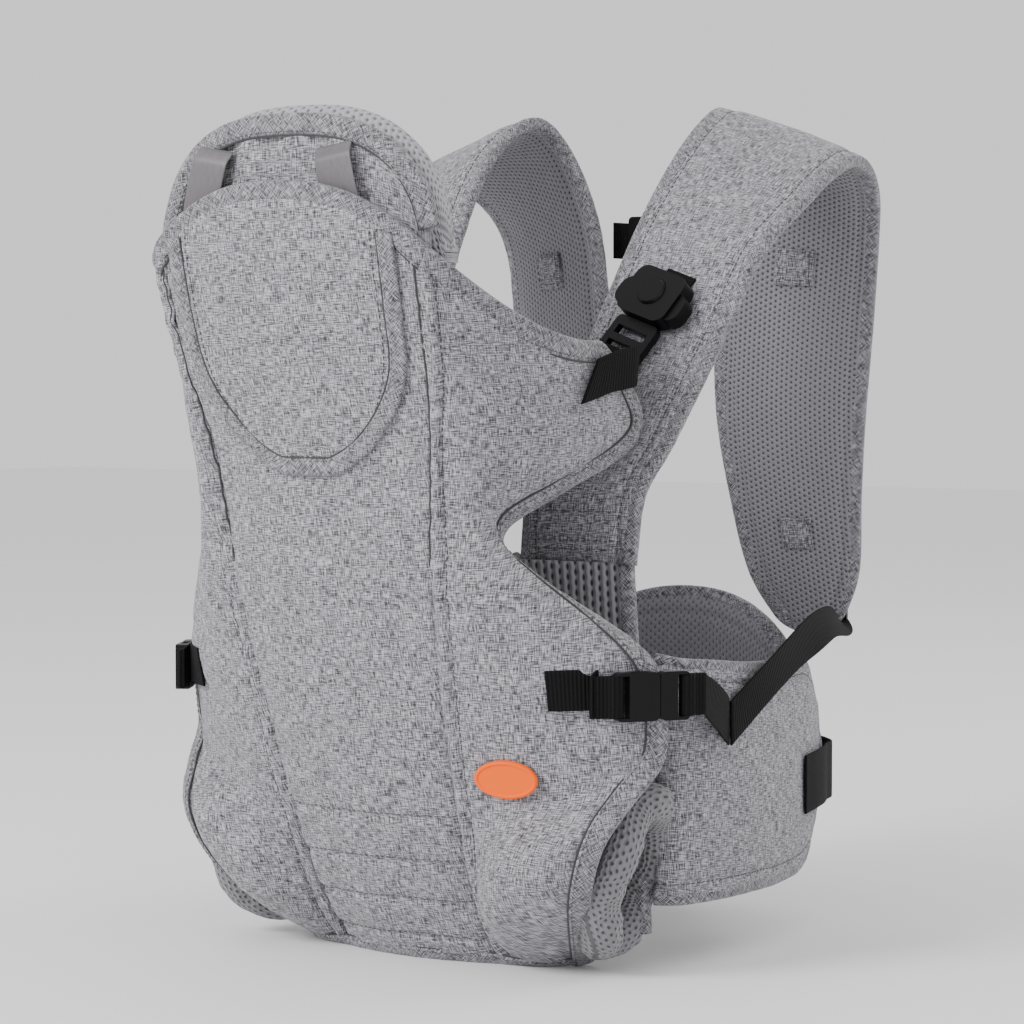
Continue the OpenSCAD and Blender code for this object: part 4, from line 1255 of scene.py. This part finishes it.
# ---- Shoulder buckle webbing ----
def shoulder_webbing():
    anchors = []
    for side, sign in SIDES:
        # From the panel's upper corner, with a quarter turn, round the tongue's lower slot and back on itself
        low_y = -17 - 0.6 - 30
        loop = put(side_line((
            (low_y - 8, 6.0), (low_y, 6.6), (low_y + 7, 6.3), (low_y + 8.2, 3), (low_y + 7, -0.6),
            (low_y - 8, -0.2),
        )), CLASP)
        t = steps(0, 1, 70)
        legs = smooth([
            loop[-1], (95, -33, 370), (106, -40, 373), (128, -51, 374), (142, -68, 374), (142, -90, 371),
            (140, -114, 365),
        ], t)
        flat = aim((1, 0, 0), CLASP)
        turned = smooth([
            flat, flat, (0.8, -0.3, 0.6), (0.3, -0.1, 0.95), (0, 0.1, 1), (0, 0.15, 1), (0, 0.75, 1.15),
        ], t)
        size = 1 + 0.3 * np.clip(steps(-6, 1, 70), 0, 1)[:, None]
        path = np.concatenate([loop[:-1], legs]) * (sign, 1, 1)
        across = np.concatenate([everywhere(loop[1:], flat), unit(turned) * size]) * (sign, 1, 1)
        name = f"shoulder_tab_{side}"
        tab = ribbon(name + "_band", path, across)
        end = put((0, low_y, 0), CLASP, sign)
        blended(tab, f"shoulder_tongue_{side}", (139 * sign, -70, 374), end, name)

        line = side_line([(y, -1.2) for y in (-20, 0, 24)], 2)
        anchors.append(local_ribbon(f"shoulder_anchor_{side}", line, CLASP, sign))
    done(joined("shoulder_anchors_band", anchors), "carrier", ["shoulder_anchors"])


# ---- Hardware and badge ----
def hardware():
    for name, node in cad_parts.items():
        material = BUTTON if "button" in name else BLACK
        if name == "badge":
            material = ORANGE
        node.data.materials.clear()
        node.data.materials.append(material)

    # A raised rim round the blank badge
    tilt = turn("z", 15) @ turn("x", 105)
    place = (np.array([103.8, -148.3, 129]), tilt)
    a = np.linspace(0, 2 * math.pi, 120, endpoint=False)
    ring = put(np.stack([18.6 * np.cos(a), 10.6 * np.sin(a), 0 * a + 2.0], axis=1), place)
    ups = everywhere(ring, aim((0, 0, 1), place))
    rim = sweep("badge_rim", ring, ups, oval(2.0, 1.4, 12, 1.0), ORANGE, closed=True)
    done(rim, "carrier")


# ---- Studio ----
def studio():
    white = Nodes("studio_floor")
    white.set(Base_Color=(0.9, 0.9, 0.9, 1), Roughness=0.6)
    bpy.ops.mesh.primitive_plane_add(size=14, location=(0, 0, 0))
    floor = bpy.context.object
    floor.name = "studio_floor"
    floor.data.materials.append(white.material)

    world = bpy.data.worlds.new("studio")
    bpy.context.scene.world = world
    world.use_nodes = True
    world.node_tree.nodes["Background"].inputs["Color"].default_value = (1, 1, 1, 1)
    world.node_tree.nodes["Background"].inputs["Strength"].default_value = 1.0

    def lamp(name, place, size, power):
        light = bpy.data.lights.new(name, "AREA")
        light.shape = "RECTANGLE"
        light.size, light.size_y = size
        light.energy = power
        obj = bpy.data.objects.new(name, light)
        obj.location = place
        obj.rotation_euler = (Vector((0, 0, 0.28)) - Vector(place)).to_track_quat("-Z", "Y").to_euler()
        bpy.context.scene.collection.objects.link(obj)

    lamp("key", (-0.7, -2.3, 1.7), (1.0, 1.0), 70)
    lamp("fill", (2.6, -1.4, 1.1), (1.6, 1.6), 8)
    lamp("rim", (1.2, 2.2, 1.8), (1.4, 1.0), 24)


def camera():
    """A long lens 2.2 m away, 36 degrees round to the wearer's left and just above level."""
    target = Vector((0, 0.005, 0.256))
    azimuth, elevation, distance = math.radians(36), math.radians(3), 2.2
    level = math.cos(elevation)
    way = Vector((math.sin(azimuth) * level, -math.cos(azimuth) * level, math.sin(elevation)))
    data = bpy.data.cameras.new("camera")
    data.lens = 119.9
    data.sensor_width = 36
    data.shift_y = 0.027
    data.clip_end = 50
    obj = bpy.data.objects.new("camera", data)
    obj.location = target + way * distance
    obj.rotation_euler = (-way).to_track_quat("-Z", "Y").to_euler()
    bpy.context.scene.collection.objects.link(obj)
    bpy.context.scene.camera = obj


front_panel()
head_patch()
head_support()
inner_panel()
leg_cuffs()
wings()
lumbar()
straps()
webbings()
shoulder_webbing()
hardware()
studio()
camera()
